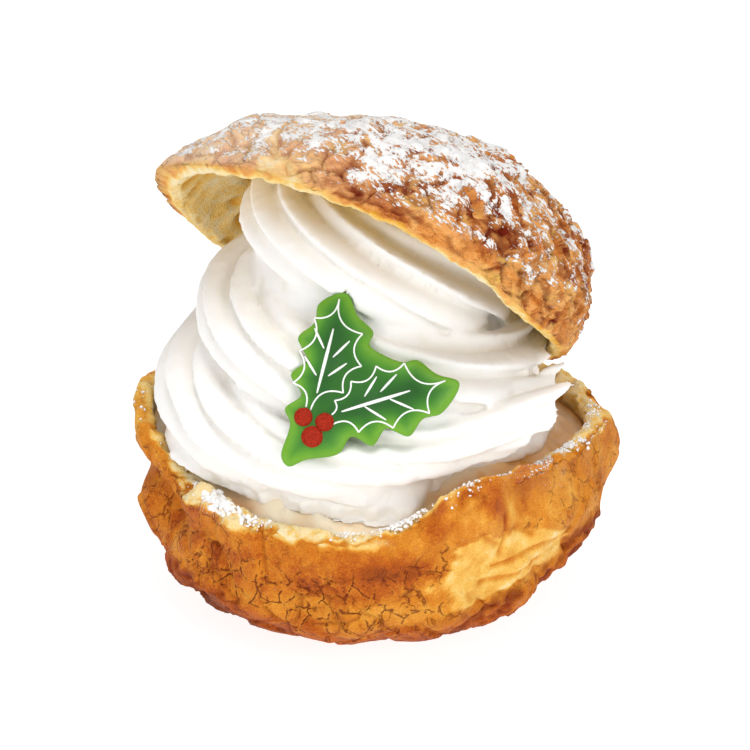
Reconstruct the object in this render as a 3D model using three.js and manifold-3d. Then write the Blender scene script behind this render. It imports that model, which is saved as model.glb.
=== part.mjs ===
// A cream puff cut in two: a hollow choux base filled with custard, a piped swirl of whipped cream on it,
// the choux cap leaning back on the swirl, and a thin holly decoration pressed into the cream.
// Millimetres, +Z up, the front towards -Y, the origin at the middle of the flat underside.
// Angles round the puff run from +X (right) over +Y (back).

import * as THREE from "three";
import { mergeVertices } from "three/addons/utils/BufferGeometryUtils.js";
import Module from "manifold-3d";

const wasm = await Module();
wasm.setup();

const DEGREE = Math.PI / 180;
const FULL_TURN = 2 * Math.PI;
const GOLDEN_ANGLE = Math.PI * (3 - Math.sqrt(5));
const GAP = 0.35; // clearance between neighbouring solids
const MERGE_DISTANCE = 1e-4; // points closer than this are one point

// Choux base: a round bowl with a flat underside and a torn rim that rises to the back.
const BASE_RADIUS = 40.2;
const BASE_BELLY = 16; // height of the widest ring
const BASE_BELOW = 17.4; // half height of the ellipse under the belly
const BASE_ABOVE = 40; // half height of the ellipse over the belly
const BASE_RIM = 29.5; // mean height of the rim
const BASE_WALL = 4;
const BASE_FOOT = 6; // extra thickness of the wall at the floor
const BASE_FOOT_POWER = 3; // how soon that thickness fades with height
const BASE_FLOOR = 4.5;
const BASE_SIDES = 64;
const BASE_CRUST_ROWS = 12;
const BASE_ROW_SPACING = 1.3; // power that draws the rows together near the underside
const BASE_INNER_ROWS = 6;
const UNDERSIDE_RING = 0.5; // share of the radius of the ring that splits the underside

// Torn features of the base: angle and half width in degrees, outward and upward shift in mm.
const LEFT_LIP = { angle: 168, width: 27, out: 6.8, up: 4.2 };
const RIGHT_LIP = { angle: 8, width: 32, out: 3.8, up: 1.5 };
const RAISED_SIDE = { angle: 322, width: 36, out: 0.6, up: 6.2 };
const FRONT_RISE = { angle: 300, width: 13, out: 0, up: 3.6 };
const LEFT_TEAR = { angle: 200, width: 8, out: -2.6, up: -3.6 };
const TORN_RIM = [LEFT_LIP, RIGHT_LIP, RAISED_SIDE, FRONT_RISE, LEFT_TEAR];
const LIP_GROOVE = { angle: 184, width: 24, out: -4.4, share: 0.8, depth: 0.09 }; // under the left lip
const SUNKEN_SIDE = { angle: 312, width: 58, out: -2.6 }; // where the lower wall draws in

// Shares of the base's height over which its features come in or fade out.
const SUNKEN_FADE = [0.5, 0.8];
const TORN_FADE = [0.4, 0.95];
const LIFT_FADE = [0.3, 1];
const RELIEF_FADE = [0, 0.2];

// Choux cap: a hollow dome that leans back and to the right.
const CAP_RADIUS = 40.6;
const CAP_HEIGHT = 25.8;
const CAP_WALL = 3.2;
const CAP_LEFT_END = { angle: 180, width: 40, wall: 1.8 }; // where its wall is thicker
const CAP_RIGHT_END = { angle: 0, width: 45, out: -2.2 }; // where its side draws in
const CAP_LOW_SIDE = { angle: 322, width: 32, up: -3 }; // where its rim hangs lower
const CAP_SKEW = 0.36; // shift of the dome to the right, per mm of height
const CAP_CENTRE = new THREE.Vector3(-1.3, 4, 62);
const CAP_AXIS = new THREE.Vector3(0.372, 0.6257, 0.6837);
const CAP_RIGHT = new THREE.Vector3(0.924, -0.19, -0.329);
const CAP_SIDES = 64;
const CAP_CRUST_ROWS = 12;
const CAP_INNER_ROWS = 8;
const RIM_ROUNDING = 0.8; // how far a torn rim stands up in its middle

// Crust relief on both shells, each with its own seed.
const BASE_SEED = 1;
const CAP_SEED = 2;
const LUMP_SIZE = 19;
const LUMP_HEIGHT = 0.65;
const LUMP_WAVES = 12;
const LUMP_QUICKENING = 0.06; // how much shorter each wave is than the first, per wave
const PLATES = 190; // crust plates over a whole sphere of directions
const PLATE_SCATTER = 0.07;
const PLATE_PACES = new THREE.Vector3(5.1, 3.7, 4.3); // phase steps that scatter the plates' middles
const PLATE_STEP_PACE = 7.3; // phase step that varies their heights
const PLATE_STEP = 0.55; // how far neighbouring plates stand apart
const CRACK_DEPTH = 0.8;
const CRACK_WIDTH = 2.4;

// Whipped cream: a star-shaped rope laid in a rising, shrinking coil.
const ROPE_RADIUS = 9.4;
const ROPE_FLATNESS = 0.94;
const ROPE_LOBES = 8;
const ROPE_GROOVE = 3.2; // depth of the grooves between its ridges
const ROPE_TWIST = 1; // turns that the ridges make about the rope in each turn of the coil
const ROPE_SIDES = 4 * ROPE_LOBES;
const COIL_TURNS = 3;
const COIL_RISE = 43; // length of the coil along its own bent axis
const COIL_CLIMB = 1.15; // power by which its climb starts slowly
const COIL_START_ANGLE = -60 * DEGREE;
const COIL_START_RADIUS = 29.5;
const COIL_SHRINK = 6; // loss of radius per turn
const COIL_FOOT = new THREE.Vector3(-2.2, 2.8, 37); // middle of the lowest turn
const COIL_LEAN = new THREE.Vector3(0.51, 0.86, 0); // the way the axis bends as it rises
const COIL_BEND = 38 * DEGREE; // how far it has bent at the top
const TAIL_LENGTH = 16.5; // straight start of the rope at the right
const TAIL_SLANT = 1.4; // how far its upper ridges reach past its lower ones, per mm
const TAIL_LIFT = 5.5; // how far it is raised off the custard
const TAIL_SETTLING = [-0.1, 0.18]; // turns over which the rope comes down from there
const TAIL_GIRTH = 0.8; // share of the rope's radius that it starts with
const TAIL_SWELLING = [-0.05, 0.15]; // turns over which the rope gains its full radius
const TIP_THINNING = [-0.1, 0.4]; // turns before the rope's end over which it thins out
const STEPS_PER_TURN = 18;
const PATH_STEP = 0.01; // turns between the two points that give the rope's direction
const CORE_BELOW = 0.6; // turns that the cream inside the coil reaches below its start
const CORE_INSET = 0.5; // turns by which it stops short of the rope's outer turns
const CORE_ROWS = 8;

// Custard: fills the bowl and domes up under the cream.
const CUSTARD_EDGE = 26.4;
const CUSTARD_CROWN = 5;
const CUSTARD_DOME_POWER = 3; // how flat the crown is in its middle
const CUSTARD_SIDES = 36;
const CUSTARD_ROWS = 5;
const CUSTARD_RINGS = [0.75, 0.5, 0.25]; // shares of the radius of the rings on its top

// Holly decoration: a thin wavy plate cut round two leaves and their stalk, with three berries.
const PLAQUE_CENTRE = new THREE.Vector3(-7.2, -27.4, 52.6);
const PLAQUE_LEAN = 34 * DEGREE; // its face looks up this far from level
const PLAQUE_THICKNESS = 1.6;
const PLAQUE_ROUNDING = 0.96; // share of the outline that its flat faces keep
const PLAQUE_WAVE = 0.3;
const PLAQUE_WAVE_LENGTH = 13;
const PLAQUE_POINTS = 66;
const PLAQUE_INNER_RING = 0.5; // share of the outline of the ring that splits each face
const LEAF_NOTCH = 2.1;
// Places along a leaf and reaches across it: the lobes of its free side, and the corners of its inner side.
const OUTER_LOBES = [[0.4, 5.5], [6.3, 5.9], [12.7, 6.2], [19.2, 4.1]];
const UPRIGHT_LEAF = {
  root: [-2.9, -2.9],
  tip: [2.3, 18.6],
  inner: [[14.4, 6], [16.6, 6.1], [18.8, 2.8]],
};
const LEVEL_LEAF = {
  root: [-1, -3.8],
  tip: [21.6, 3.2],
  inner: [[12.9, 8.2], [15.6, 6.2], [17.9, 5.9], [20.4, 2.6]],
};
const STALK_END = [[-8.2, -9.6], [-7, -11.2]];
const BERRIES = [
  { at: [-5, -2.7], radius: 1.6 },
  { at: [-1.4, -3.6], radius: 1.6 },
  { at: [-3.5, -6.1], radius: 1.9 },
];
const BERRY_FLATNESS = 0.5;
const BERRY_SIDES = 12;
const BERRY_ROWS = 6;

const BASE_LOOK = { color: "#c8803a", roughness: 0.7 };
const CUSTARD_LOOK = { color: "#f0dcb4", roughness: 0.5 };
const CREAM_LOOK = { color: "#fbf8f2", roughness: 0.5 };
const CAP_LOOK = { color: "#c98a45", roughness: 0.7 };
const HOLLY_LOOK = { color: "#4a9a34", roughness: 0.4 };

const { lerp, smoothstep } = THREE.MathUtils;
const range = (count, make) => Array.from({ length: count }, (_, i) => make(i));

// A ring of points, one for each angle round a full turn.
const ring = (sides, point) => range(sides, (j) => point((FULL_TURN * j) / sides));

// Unit vectors spread evenly over a sphere along a golden spiral.
function spiralDirection(i, count) {
  const height = 1 - (2 * i + 1) / count;
  const spread = Math.sqrt(1 - height * height);
  const turn = GOLDEN_ANGLE * i;
  return new THREE.Vector3(spread * Math.cos(turn), spread * Math.sin(turn), height);
}

// Smooth lumps about 1 high: plane waves in spiral directions, each a little shorter than the last.
function lumps(point, size, seed) {
  const waves = range(LUMP_WAVES, (i) => {
    const pace = 1 + LUMP_QUICKENING * i;
    const along = spiralDirection(i, LUMP_WAVES).dot(point);
    return Math.sin((FULL_TURN * pace * along) / size + i * i + seed);
  });
  return waves.reduce((sum, wave) => sum + wave) / Math.sqrt(LUMP_WAVES / 2);
}

// Middles of the crust plates: spiral directions pushed about a little.
function plateMiddles(seed) {
  return range(PLATES, (i) => {
    const phase = PLATE_PACES.clone().multiplyScalar(i).addScalar(seed);
    const push = new THREE.Vector3(Math.sin(phase.x), Math.sin(phase.y), Math.sin(phase.z));
    return spiralDirection(i, PLATES).addScaledVector(push, PLATE_SCATTER).normalize();
  });
}

// Height of the cracked crust in one direction from the middle of a shell of that size.
function crustRelief(direction, size, middles, seed) {
  const distances = middles.map((middle) => middle.distanceTo(direction) * size);
  const nearest = Math.min(...distances);
  const owner = distances.indexOf(nearest);
  distances[owner] = Infinity;
  const plateShare = smoothstep(Math.min(...distances) - nearest, 0, CRACK_WIDTH);
  const plateHeight = PLATE_STEP * Math.sin(PLATE_STEP_PACE * owner + seed);
  const lump = LUMP_HEIGHT * lumps(direction.clone().multiplyScalar(size), LUMP_SIZE, seed);
  return lump + plateShare * plateHeight - (1 - plateShare) * CRACK_DEPTH;
}

// Keeps only the positions, with shared points merged.
function bare(geometry) {
  geometry.deleteAttribute("normal");
  geometry.deleteAttribute("uv");
  return mergeVertices(geometry, MERGE_DISTANCE);
}

// A closed skin through rings of points, with a fan over each end.
function swept(rings) {
  const sides = rings[0].length;
  const ends = [rings[0], rings.at(-1)].map((points) =>
    points.reduce((sum, point) => sum.add(point), new THREE.Vector3()).divideScalar(sides),
  );
  const lastRing = (rings.length - 1) * sides;
  const [first, last] = [lastRing + sides, lastRing + sides + 1];
  const faces = [];
  range(sides, (j) => {
    const next = (j + 1) % sides;
    faces.push(first, next, j, last, lastRing + j, lastRing + next);
    range(rings.length - 1, (i) => {
      const [a, b] = [i * sides + j, i * sides + next];
      faces.push(a, b, a + sides, b, b + sides, a + sides);
    });
  });
  const skin = new THREE.BufferGeometry().setFromPoints([...rings.flat(), ...ends]);
  skin.setIndex(faces);
  return bare(skin);
}

// The solid inside a closed skin.
function solid(skin) {
  const vertProperties = new Float32Array(skin.getAttribute("position").array);
  const triVerts = new Uint32Array(skin.index.array);
  return new wasm.Manifold(new wasm.Mesh({ numProp: 3, vertProperties, triVerts }));
}

// The skin of a solid's largest body, which drops loose scraps and fills sealed hollows.
function skinOf(body) {
  const [largest] = body.decompose().sort((a, b) => b.volume() - a.volume());
  const mesh = largest.getMesh();
  const skin = new THREE.BufferGeometry();
  skin.setAttribute("position", new THREE.BufferAttribute(mesh.vertProperties, 3));
  skin.setIndex(new THREE.BufferAttribute(mesh.triVerts, 1));
  return skin;
}

// 1 at a feature's angle, falling to 0 over its width.
function near(angle, feature) {
  const middle = feature.angle * DEGREE;
  const away = Math.atan2(Math.sin(angle - middle), Math.cos(angle - middle));
  return Math.exp(-((away / (feature.width * DEGREE)) ** 2));
}

// Sum of the rim's features at an angle, outwards or upwards.
function tornBy(angle, way) {
  return TORN_RIM.reduce((sum, feature) => sum + feature[way] * near(angle, feature), 0);
}

function baseRimHeight(angle) {
  return BASE_RIM + tornBy(angle, "up");
}

// A point on the base's wall: inset is measured inwards from its smooth outer face.
function basePoint(angle, share, inset) {
  const height = share * BASE_RIM;
  const reach = height < BASE_BELLY ? BASE_BELOW : BASE_ABOVE;
  const round = BASE_RADIUS * Math.sqrt(1 - ((height - BASE_BELLY) / reach) ** 2);
  const sunken = SUNKEN_SIDE.out * near(angle, SUNKEN_SIDE) * (1 - smoothstep(share, ...SUNKEN_FADE));
  const torn = tornBy(angle, "out") * smoothstep(share, ...TORN_FADE);
  const besideGroove = (share - LIP_GROOVE.share) / LIP_GROOVE.depth;
  const groove = LIP_GROOVE.out * near(angle, LIP_GROOVE) * Math.exp(-(besideGroove ** 2));
  const radius = round + sunken + torn + (inset > 0 ? 0 : groove) - inset;
  const lift = lerp(1, baseRimHeight(angle) / BASE_RIM, smoothstep(share, ...LIFT_FADE));
  return new THREE.Vector3(radius * Math.cos(angle), radius * Math.sin(angle), height * lift);
}

const BASE_PLATES = plateMiddles(BASE_SEED);

// A point on the base's crust, with its relief fading out towards the flat underside.
function baseCrustPoint(angle, share, outset) {
  const point = basePoint(angle, share, -outset);
  const direction = point.clone().setZ(point.z - BASE_BELLY).normalize();
  const relief = crustRelief(direction, BASE_RADIUS, BASE_PLATES, BASE_SEED);
  return point.addScaledVector(direction.setZ(0), relief * smoothstep(share, ...RELIEF_FADE));
}

// Thickness of the base's wall, which grows towards its floor.
const baseWall = (share) => BASE_WALL + BASE_FOOT * (1 - share) ** BASE_FOOT_POWER;

// The base, or with a clearance the space that its neighbours keep out of.
function baseShell(clearance) {
  const floorShare = BASE_FLOOR / BASE_RIM;
  const rings = [
    ring(BASE_SIDES, (angle) => baseCrustPoint(angle, 0, 0).multiplyScalar(UNDERSIDE_RING)),
    ...range(BASE_CRUST_ROWS, (i) => {
      const share = (i / (BASE_CRUST_ROWS - 1)) ** BASE_ROW_SPACING;
      return ring(BASE_SIDES, (angle) => baseCrustPoint(angle, share, clearance));
    }),
    ring(BASE_SIDES, (angle) => {
      const crest = baseRimHeight(angle) + RIM_ROUNDING + clearance;
      return basePoint(angle, 1, BASE_WALL / 2).setZ(crest);
    }),
    ...range(BASE_INNER_ROWS, (i) => {
      const share = lerp(1, floorShare, i / (BASE_INNER_ROWS - 1));
      return ring(BASE_SIDES, (angle) => basePoint(angle, share, baseWall(share) + clearance));
    }),
  ];
  return swept(rings);
}

// The custard, or with its top lifted the space that the cream keeps out of.
function custard(lift) {
  const floorShare = (BASE_FLOOR + GAP) / BASE_RIM;
  const edgeShare = CUSTARD_EDGE / BASE_RIM;
  const sides = range(CUSTARD_ROWS, (i) => {
    const share = lerp(floorShare, edgeShare, i / (CUSTARD_ROWS - 1));
    return ring(CUSTARD_SIDES, (angle) => basePoint(angle, share, baseWall(share) + 2 * GAP));
  });
  const top = CUSTARD_RINGS.map((part) =>
    sides.at(-1).map((edge) => {
      const height = CUSTARD_EDGE + CUSTARD_CROWN * (1 - part ** CUSTARD_DOME_POWER) + lift;
      return new THREE.Vector3(edge.x * part, edge.y * part, height);
    }),
  );
  return swept([...sides, ...top]);
}

const CAP_PLATES = plateMiddles(CAP_SEED);
const CAP_BACK = new THREE.Vector3().crossVectors(CAP_AXIS, CAP_RIGHT);
const CAP_PLACE = new THREE.Matrix4().makeBasis(CAP_RIGHT, CAP_BACK, CAP_AXIS).setPosition(CAP_CENTRE);

// A point on the cap's dome, in the cap's own frame with the rim at height 0.
function capPoint(angle, rise, inset) {
  const wall = CAP_LEFT_END.wall * near(angle, CAP_LEFT_END);
  const radius = CAP_RADIUS + CAP_RIGHT_END.out * near(angle, CAP_RIGHT_END);
  const across = (radius - inset - Math.sign(inset) * wall) * Math.cos(rise);
  const drop = CAP_LOW_SIDE.up * near(angle, CAP_LOW_SIDE) * (1 - Math.sin(rise));
  const height = (CAP_HEIGHT - inset) * Math.sin(rise) + drop;
  return new THREE.Vector3(across * Math.cos(angle) + CAP_SKEW * height, across * Math.sin(angle), height);
}

function capCrustPoint(angle, rise) {
  const point = capPoint(angle, rise, 0);
  const direction = point.clone().normalize();
  return point.addScaledVector(direction, crustRelief(direction, CAP_RADIUS, CAP_PLATES, CAP_SEED));
}

// Rings of the cap's inner face from near its top down to the middle of its rim, a clearance away from it.
function capInside(clearance) {
  const rises = range(CAP_INNER_ROWS, (i) => 90 * DEGREE * (1 - (i + 1) / CAP_INNER_ROWS));
  return [
    ...rises.map((rise) => ring(CAP_SIDES, (angle) => capPoint(angle, rise, CAP_WALL + clearance))),
    ring(CAP_SIDES, (angle) => {
      const crest = capPoint(angle, 0, CAP_WALL / 2);
      return crest.setZ(crest.z - RIM_ROUNDING - clearance);
    }),
  ];
}

function capShell() {
  const rises = range(CAP_CRUST_ROWS, (i) => (90 * DEGREE * i) / CAP_CRUST_ROWS);
  const crust = rises.map((rise) => ring(CAP_SIDES, (angle) => capCrustPoint(angle, rise)));
  return swept([...capInside(0), ...crust]);
}

// The cap with all the room over it, which the cream keeps out of.
function capSpace() {
  const around = (height) =>
    ring(CAP_SIDES, (angle) => {
      const edge = capPoint(angle, 0, -2 * CRACK_DEPTH);
      return edge.setZ(edge.z + height);
    });
  return swept([...capInside(GAP), around(0), around(2 * CAP_HEIGHT)]);
}

// Middle, axis and cross directions of the coil after so many turns. Its axis bends under the cap by an angle
// that grows as the square of its length, and the middle is the first terms of the series that sums it up.
function coilFrame(turns) {
  const share = turns / COIL_TURNS;
  const tilt = COIL_BEND * share * Math.abs(share);
  const axis = new THREE.Vector3(0, 0, Math.cos(tilt)).addScaledVector(COIL_LEAN, Math.sin(tilt));
  const middle = COIL_FOOT.clone().addScaledVector(COIL_LEAN, (COIL_RISE * COIL_BEND * share ** 3) / 3);
  const climbed = Math.sign(share) * Math.abs(share) ** COIL_CLIMB;
  middle.z += COIL_RISE * climbed * (1 - (tilt * tilt) / 10);
  const back = new THREE.Vector3().crossVectors(axis, new THREE.Vector3(1, 0, 0)).normalize();
  const right = new THREE.Vector3().crossVectors(back, axis);
  return { middle, axis, right, back };
}

// A point at an angle round the coil's axis and a distance from it.
function coilPoint(turns, angle, radius) {
  const { middle, right, back } = coilFrame(turns);
  return middle
    .addScaledVector(right, radius * Math.cos(angle))
    .addScaledVector(back, radius * Math.sin(angle));
}

// A point of the rope's centre line after so many turns.
function ropePoint(turns) {
  const angle = COIL_START_ANGLE - FULL_TURN * turns;
  const point = coilPoint(turns, angle, COIL_START_RADIUS - COIL_SHRINK * turns);
  point.z += TAIL_LIFT * (1 - smoothstep(turns, ...TAIL_SETTLING));
  return point;
}

// One star-shaped section of the rope, square to its path, moved back along the path by the tail.
function ropeSection(turns, tail = 0) {
  const here = ropePoint(turns);
  const ahead = ropePoint(turns + PATH_STEP).sub(here).normalize();
  const out = new THREE.Vector3().crossVectors(coilFrame(turns).axis, ahead).normalize();
  const up = new THREE.Vector3().crossVectors(ahead, out);
  const girth = lerp(TAIL_GIRTH, 1, smoothstep(turns, ...TAIL_SWELLING));
  const taper = girth * smoothstep(COIL_TURNS - turns, ...TIP_THINNING);
  return ring(ROPE_SIDES, (around) => {
    const ridge = Math.sqrt(Math.abs(Math.cos((ROPE_LOBES * around) / 2)));
    const radius = (ROPE_RADIUS - ROPE_GROOVE * (1 - ridge)) * taper;
    const angle = around + FULL_TURN * ROPE_TWIST * turns;
    const rise = radius * ROPE_FLATNESS * Math.sin(angle);
    const back = tail > 0 ? tail + TAIL_SLANT * rise : 0;
    return here
      .clone()
      .addScaledVector(out, radius * Math.cos(angle))
      .addScaledVector(up, rise)
      .addScaledVector(ahead, -back);
  });
}

// The cone of cream that fills the inside of the coil.
function coilCore() {
  const rings = range(CORE_ROWS, (i) => {
    const turns = lerp(-CORE_BELOW, COIL_TURNS - CORE_INSET, i / (CORE_ROWS - 1));
    const radius = COIL_START_RADIUS - COIL_SHRINK * Math.max(turns + CORE_INSET, 0);
    return ring(CUSTARD_SIDES, (angle) => coilPoint(turns, angle, radius));
  });
  return swept(rings);
}

// The piped swirl with everything that touches it cut away.
function creamSwirl(neighbours) {
  const ropes = range(COIL_TURNS, (turn) => {
    const sections = range(STEPS_PER_TURN + 1, (i) => ropeSection(turn + i / STEPS_PER_TURN));
    const tail = turn === 0 ? [ropeSection(0, TAIL_LENGTH), ropeSection(0, TAIL_LENGTH / 2)] : [];
    return [...tail, ...sections];
  });
  const cream = ropes.reduce((body, rings) => body.add(solid(swept(rings))), solid(coilCore()));
  return skinOf(neighbours.reduce((body, neighbour) => body.subtract(neighbour), cream));
}

// The point of a leaf at a place along its middle and a reach to its left.
function leafPoint(leaf, place, reach) {
  const root = new THREE.Vector2(...leaf.root);
  const along = new THREE.Vector2(...leaf.tip).sub(root).normalize();
  const across = new THREE.Vector2(-along.y, along.x);
  return root.addScaledVector(along, place).addScaledVector(across, reach);
}

// Lobe tips and notches along a leaf's free side, from its root to its tip.
function outerEdge(leaf, side) {
  return OUTER_LOBES.flatMap(([place, reach], i) => {
    const lobe = leafPoint(leaf, place, side * reach);
    const next = OUTER_LOBES[i + 1];
    return next ? [lobe, leafPoint(leaf, (place + next[0]) / 2, side * (reach - LEAF_NOTCH))] : [lobe];
  });
}

// Corners of a leaf's side that faces the other leaf, from its root to its tip.
const innerEdge = (leaf, side) => leaf.inner.map(([place, reach]) => leafPoint(leaf, place, side * reach));

// Outline of the decoration, counter-clockwise seen from its face: round both leaves and the stalk.
function plaqueOutline() {
  const corners = [
    ...STALK_END.map((corner) => new THREE.Vector2(...corner)),
    ...outerEdge(LEVEL_LEAF, -1),
    new THREE.Vector2(...LEVEL_LEAF.tip),
    ...innerEdge(LEVEL_LEAF, 1).reverse(),
    ...innerEdge(UPRIGHT_LEAF, -1),
    new THREE.Vector2(...UPRIGHT_LEAF.tip),
    ...outerEdge(UPRIGHT_LEAF, 1).reverse(),
  ];
  const loop = corners.map((corner) => new THREE.Vector3(corner.x, corner.y, 0));
  return new THREE.CatmullRomCurve3(loop, true).getSpacedPoints(PLAQUE_POINTS).slice(0, -1);
}

// The decoration in its own frame, grown all round and carried forwards from its face.
function plaquePlate(grow, forward) {
  const half = PLAQUE_THICKNESS / 2;
  const layers = [
    [PLAQUE_INNER_RING, -half - grow],
    [PLAQUE_ROUNDING, -half - grow],
    [1, 0],
    [PLAQUE_ROUNDING, half + forward],
    [PLAQUE_INNER_RING, half + forward],
  ];
  const outline = plaqueOutline();
  const wave = (point) =>
    PLAQUE_WAVE *
    Math.sin((FULL_TURN * point.x) / PLAQUE_WAVE_LENGTH) *
    Math.cos((FULL_TURN * point.y) / PLAQUE_WAVE_LENGTH);
  return swept(
    layers.map(([part, depth]) =>
      outline.map((edge) => {
        const spread = part * (1 + grow / edge.length());
        const point = edge.clone().multiplyScalar(spread);
        return point.setZ(depth + wave(point));
      }),
    ),
  );
}

function hollyPlaque() {
  const berries = BERRIES.map(({ at, radius }) => {
    const berry = new THREE.SphereGeometry(radius, BERRY_SIDES, BERRY_ROWS).scale(1, 1, BERRY_FLATNESS);
    return solid(bare(berry.translate(at[0], at[1], PLAQUE_THICKNESS / 2)));
  });
  return skinOf(berries.reduce((body, berry) => body.add(berry), solid(plaquePlate(0, 0))));
}

const PLAQUE_PLACE = new THREE.Matrix4()
  .makeRotationX(90 * DEGREE - PLAQUE_LEAN)
  .setPosition(PLAQUE_CENTRE);

// A named piece in its own material.
function piece(name, skin, look) {
  skin.computeVertexNormals();
  const mesh = new THREE.Mesh(skin, new THREE.MeshStandardMaterial({ ...look, metalness: 0 }));
  mesh.name = name;
  return mesh;
}

const neighbours = [
  solid(custard(GAP)),
  solid(baseShell(GAP)),
  solid(capSpace().applyMatrix4(CAP_PLACE)),
  solid(plaquePlate(GAP, PLAQUE_CENTRE.z).applyMatrix4(PLAQUE_PLACE)),
];

const puff = new THREE.Group();
puff.name = "cream_puff";
puff.add(piece("base_shell", baseShell(0), BASE_LOOK));
puff.add(piece("custard_filling", custard(0), CUSTARD_LOOK));
puff.add(piece("cream_swirl", creamSwirl(neighbours), CREAM_LOOK));

const cap = piece("cap_shell", capShell(), CAP_LOOK);
cap.applyMatrix4(CAP_PLACE);
const holly = piece("holly_plaque", hollyPlaque(), HOLLY_LOOK);
holly.applyMatrix4(PLAQUE_PLACE);
puff.add(cap, holly);

export default puff;
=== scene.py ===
"""Looks of a choux cream puff: crust shells, custard, piped cream, a holly decoration and sugar.

Shapes are worked out in millimetres and put into Blender in metres. +Z is up, the front faces -Y, and
angles round the puff run from +X (right) over +Y (back).
"""

import logging
import math
from collections.abc import Sequence
from dataclasses import dataclass
from enum import Enum
from functools import partial

import bpy
import numpy as np
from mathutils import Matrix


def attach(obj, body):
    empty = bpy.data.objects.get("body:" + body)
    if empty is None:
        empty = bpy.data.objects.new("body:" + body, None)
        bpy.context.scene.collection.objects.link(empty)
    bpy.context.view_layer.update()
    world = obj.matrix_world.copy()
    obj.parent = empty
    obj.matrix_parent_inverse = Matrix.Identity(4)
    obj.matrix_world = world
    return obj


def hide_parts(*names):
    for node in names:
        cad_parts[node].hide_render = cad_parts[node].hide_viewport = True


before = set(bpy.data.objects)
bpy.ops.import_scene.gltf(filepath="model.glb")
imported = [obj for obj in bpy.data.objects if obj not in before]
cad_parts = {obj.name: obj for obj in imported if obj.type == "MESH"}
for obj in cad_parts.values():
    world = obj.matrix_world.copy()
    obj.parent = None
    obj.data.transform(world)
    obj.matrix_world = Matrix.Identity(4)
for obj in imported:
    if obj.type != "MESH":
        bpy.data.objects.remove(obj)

LOG = logging.getLogger("cream_puff")
MM = 0.001
BODY = "root"
PICTURE_SIDE = 750
Piece = bpy.types.Object
Tree = bpy.types.NodeTree
ShaderNode = bpy.types.Node
Socket = bpy.types.NodeSocket
Source = ShaderNode | Socket
Array = np.ndarray
Skin = tuple[Array, list[Array]]
Pair = tuple[float, float]
Triple = tuple[float, float, float]
Stops = tuple[tuple[float, str], ...]


class Node(Enum):
    """The solids that the pieces stand for."""

    BASE = "base_shell"
    CUSTARD = "custard_filling"
    CREAM = "cream_swirl"
    CAP = "cap_shell"
    HOLLY = "holly_plaque"


class Slot(Enum):
    """Finish names, one for each group of pieces."""

    BASE = "base_crust"
    CUSTARD = "custard"
    CREAM = "whipped_cream"
    CAP = "cap_crust"
    HOLLY = "holly_sugar"


class Tint(Enum):
    """Names of the values that are painted on the vertices, each from 0 to 1."""

    BAKE = "bake"
    CRACK = "crack"
    # dark: the crust's cracks, with painted shade in pits and hollows
    DARK = "dark"
    GLOSS = "gloss"
    CRUMB = "crumb"
    SUGAR = "sugar"
    HAZE = "haze"
    # crease: painted shade in the cream's hollows and grooves; on the custard, amber and painted shade in its
    # dips
    CREASE = "crease"
    DEPTH = "depth"


Tints = dict[Tint, Array]

# Numbers and vectors


def smoothstep(value: Array, low: float, high: float) -> Array:
    """Rises from 0 at low to 1 at high along the cubic 3tt - 2ttt."""
    part = np.clip((np.asarray(value, float) - low) / (high - low), 0, 1)
    return part * part * (3 - 2 * part)


def band(value: Array, low: float, high: float, fade: float) -> Array:
    """1 between low and high, falling to 0 over the fade outside them."""
    return smoothstep(value, low - fade, low) * (1 - smoothstep(value, high, high + fade))


def unit(vectors: Array) -> Array:
    """The vectors divided by their lengths."""
    return vectors / np.maximum(np.linalg.norm(vectors, axis=-1, keepdims=True), 1e-12)


def stack(*parts: Array) -> Array:
    """Joins coordinates of any matching shapes into one array of points."""
    return np.stack(np.broadcast_arrays(*parts), axis=-1)


def full_turn(count: int) -> Array:
    """Even angles once round, from 0."""
    return np.linspace(0, 2 * math.pi, count, endpoint=False)


def segment_distance(flat: Array, start: Array | Pair, end: Array | Pair) -> Array:
    """Distance of flat points to a straight line between two ends."""
    a, b = np.array(start), np.array(end)
    along = np.clip((flat - a) @ (b - a) / ((b - a) @ (b - a)), 0, 1)
    return np.linalg.norm(flat - a - along[..., None] * (b - a), axis=-1)


@dataclass(frozen=True)
class Feature:
    """A place round a shell: its angle and half width in degrees, and shifts in millimetres."""

    angle: float
    width: float
    out: float = 0.0
    up: float = 0.0

    def near(self, angle: Array) -> Array:
        """The bell curve exp(-(turn / width) squared) about the feature's angle."""
        away = angle - math.radians(self.angle)
        turn = np.arctan2(np.sin(away), np.cos(away))
        return np.exp(-((turn / math.radians(self.width)) ** 2))


@dataclass(frozen=True)
class Patch:
    """A part of a crust: its place round the shell, its lowest and highest heights, and its fade."""

    place: Feature
    low: float
    high: float
    fade: float

    def share(self, angle: Array, height: Array) -> Array:
        """1 in the middle of the patch, falling to 0 outside it."""
        return self.place.near(angle) * band(height, self.low, self.high, self.fade)


class OwnFrame:
    """A piece that is worked out in a frame of its own, which leans about its centre."""

    centre: Triple

    def frame(self) -> Array:
        """The piece's three directions as rows."""
        raise NotImplementedError

    def to_world(self, local: Array) -> Array:
        """Points of the piece's own frame in the puff's frame."""
        return local @ self.frame() + self.centre

    def to_local(self, world: Array) -> Array:
        """Points of the puff's frame in the piece's own frame."""
        return (world - self.centre) @ self.frame().T


# Noise, worked out for whole arrays of points

HASH_PRIMES = (73856093, 19349663, 83492791)
HASH_SEED_STEP, HASH_SEED_START = 40503, 977
HASH_MIXER = 0x45D9F3B
HASH_MASK = 0xFFFFFFFF
OCTAVE_SEED_STEP = 31
BEND_SEED_STEP = 100


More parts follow.
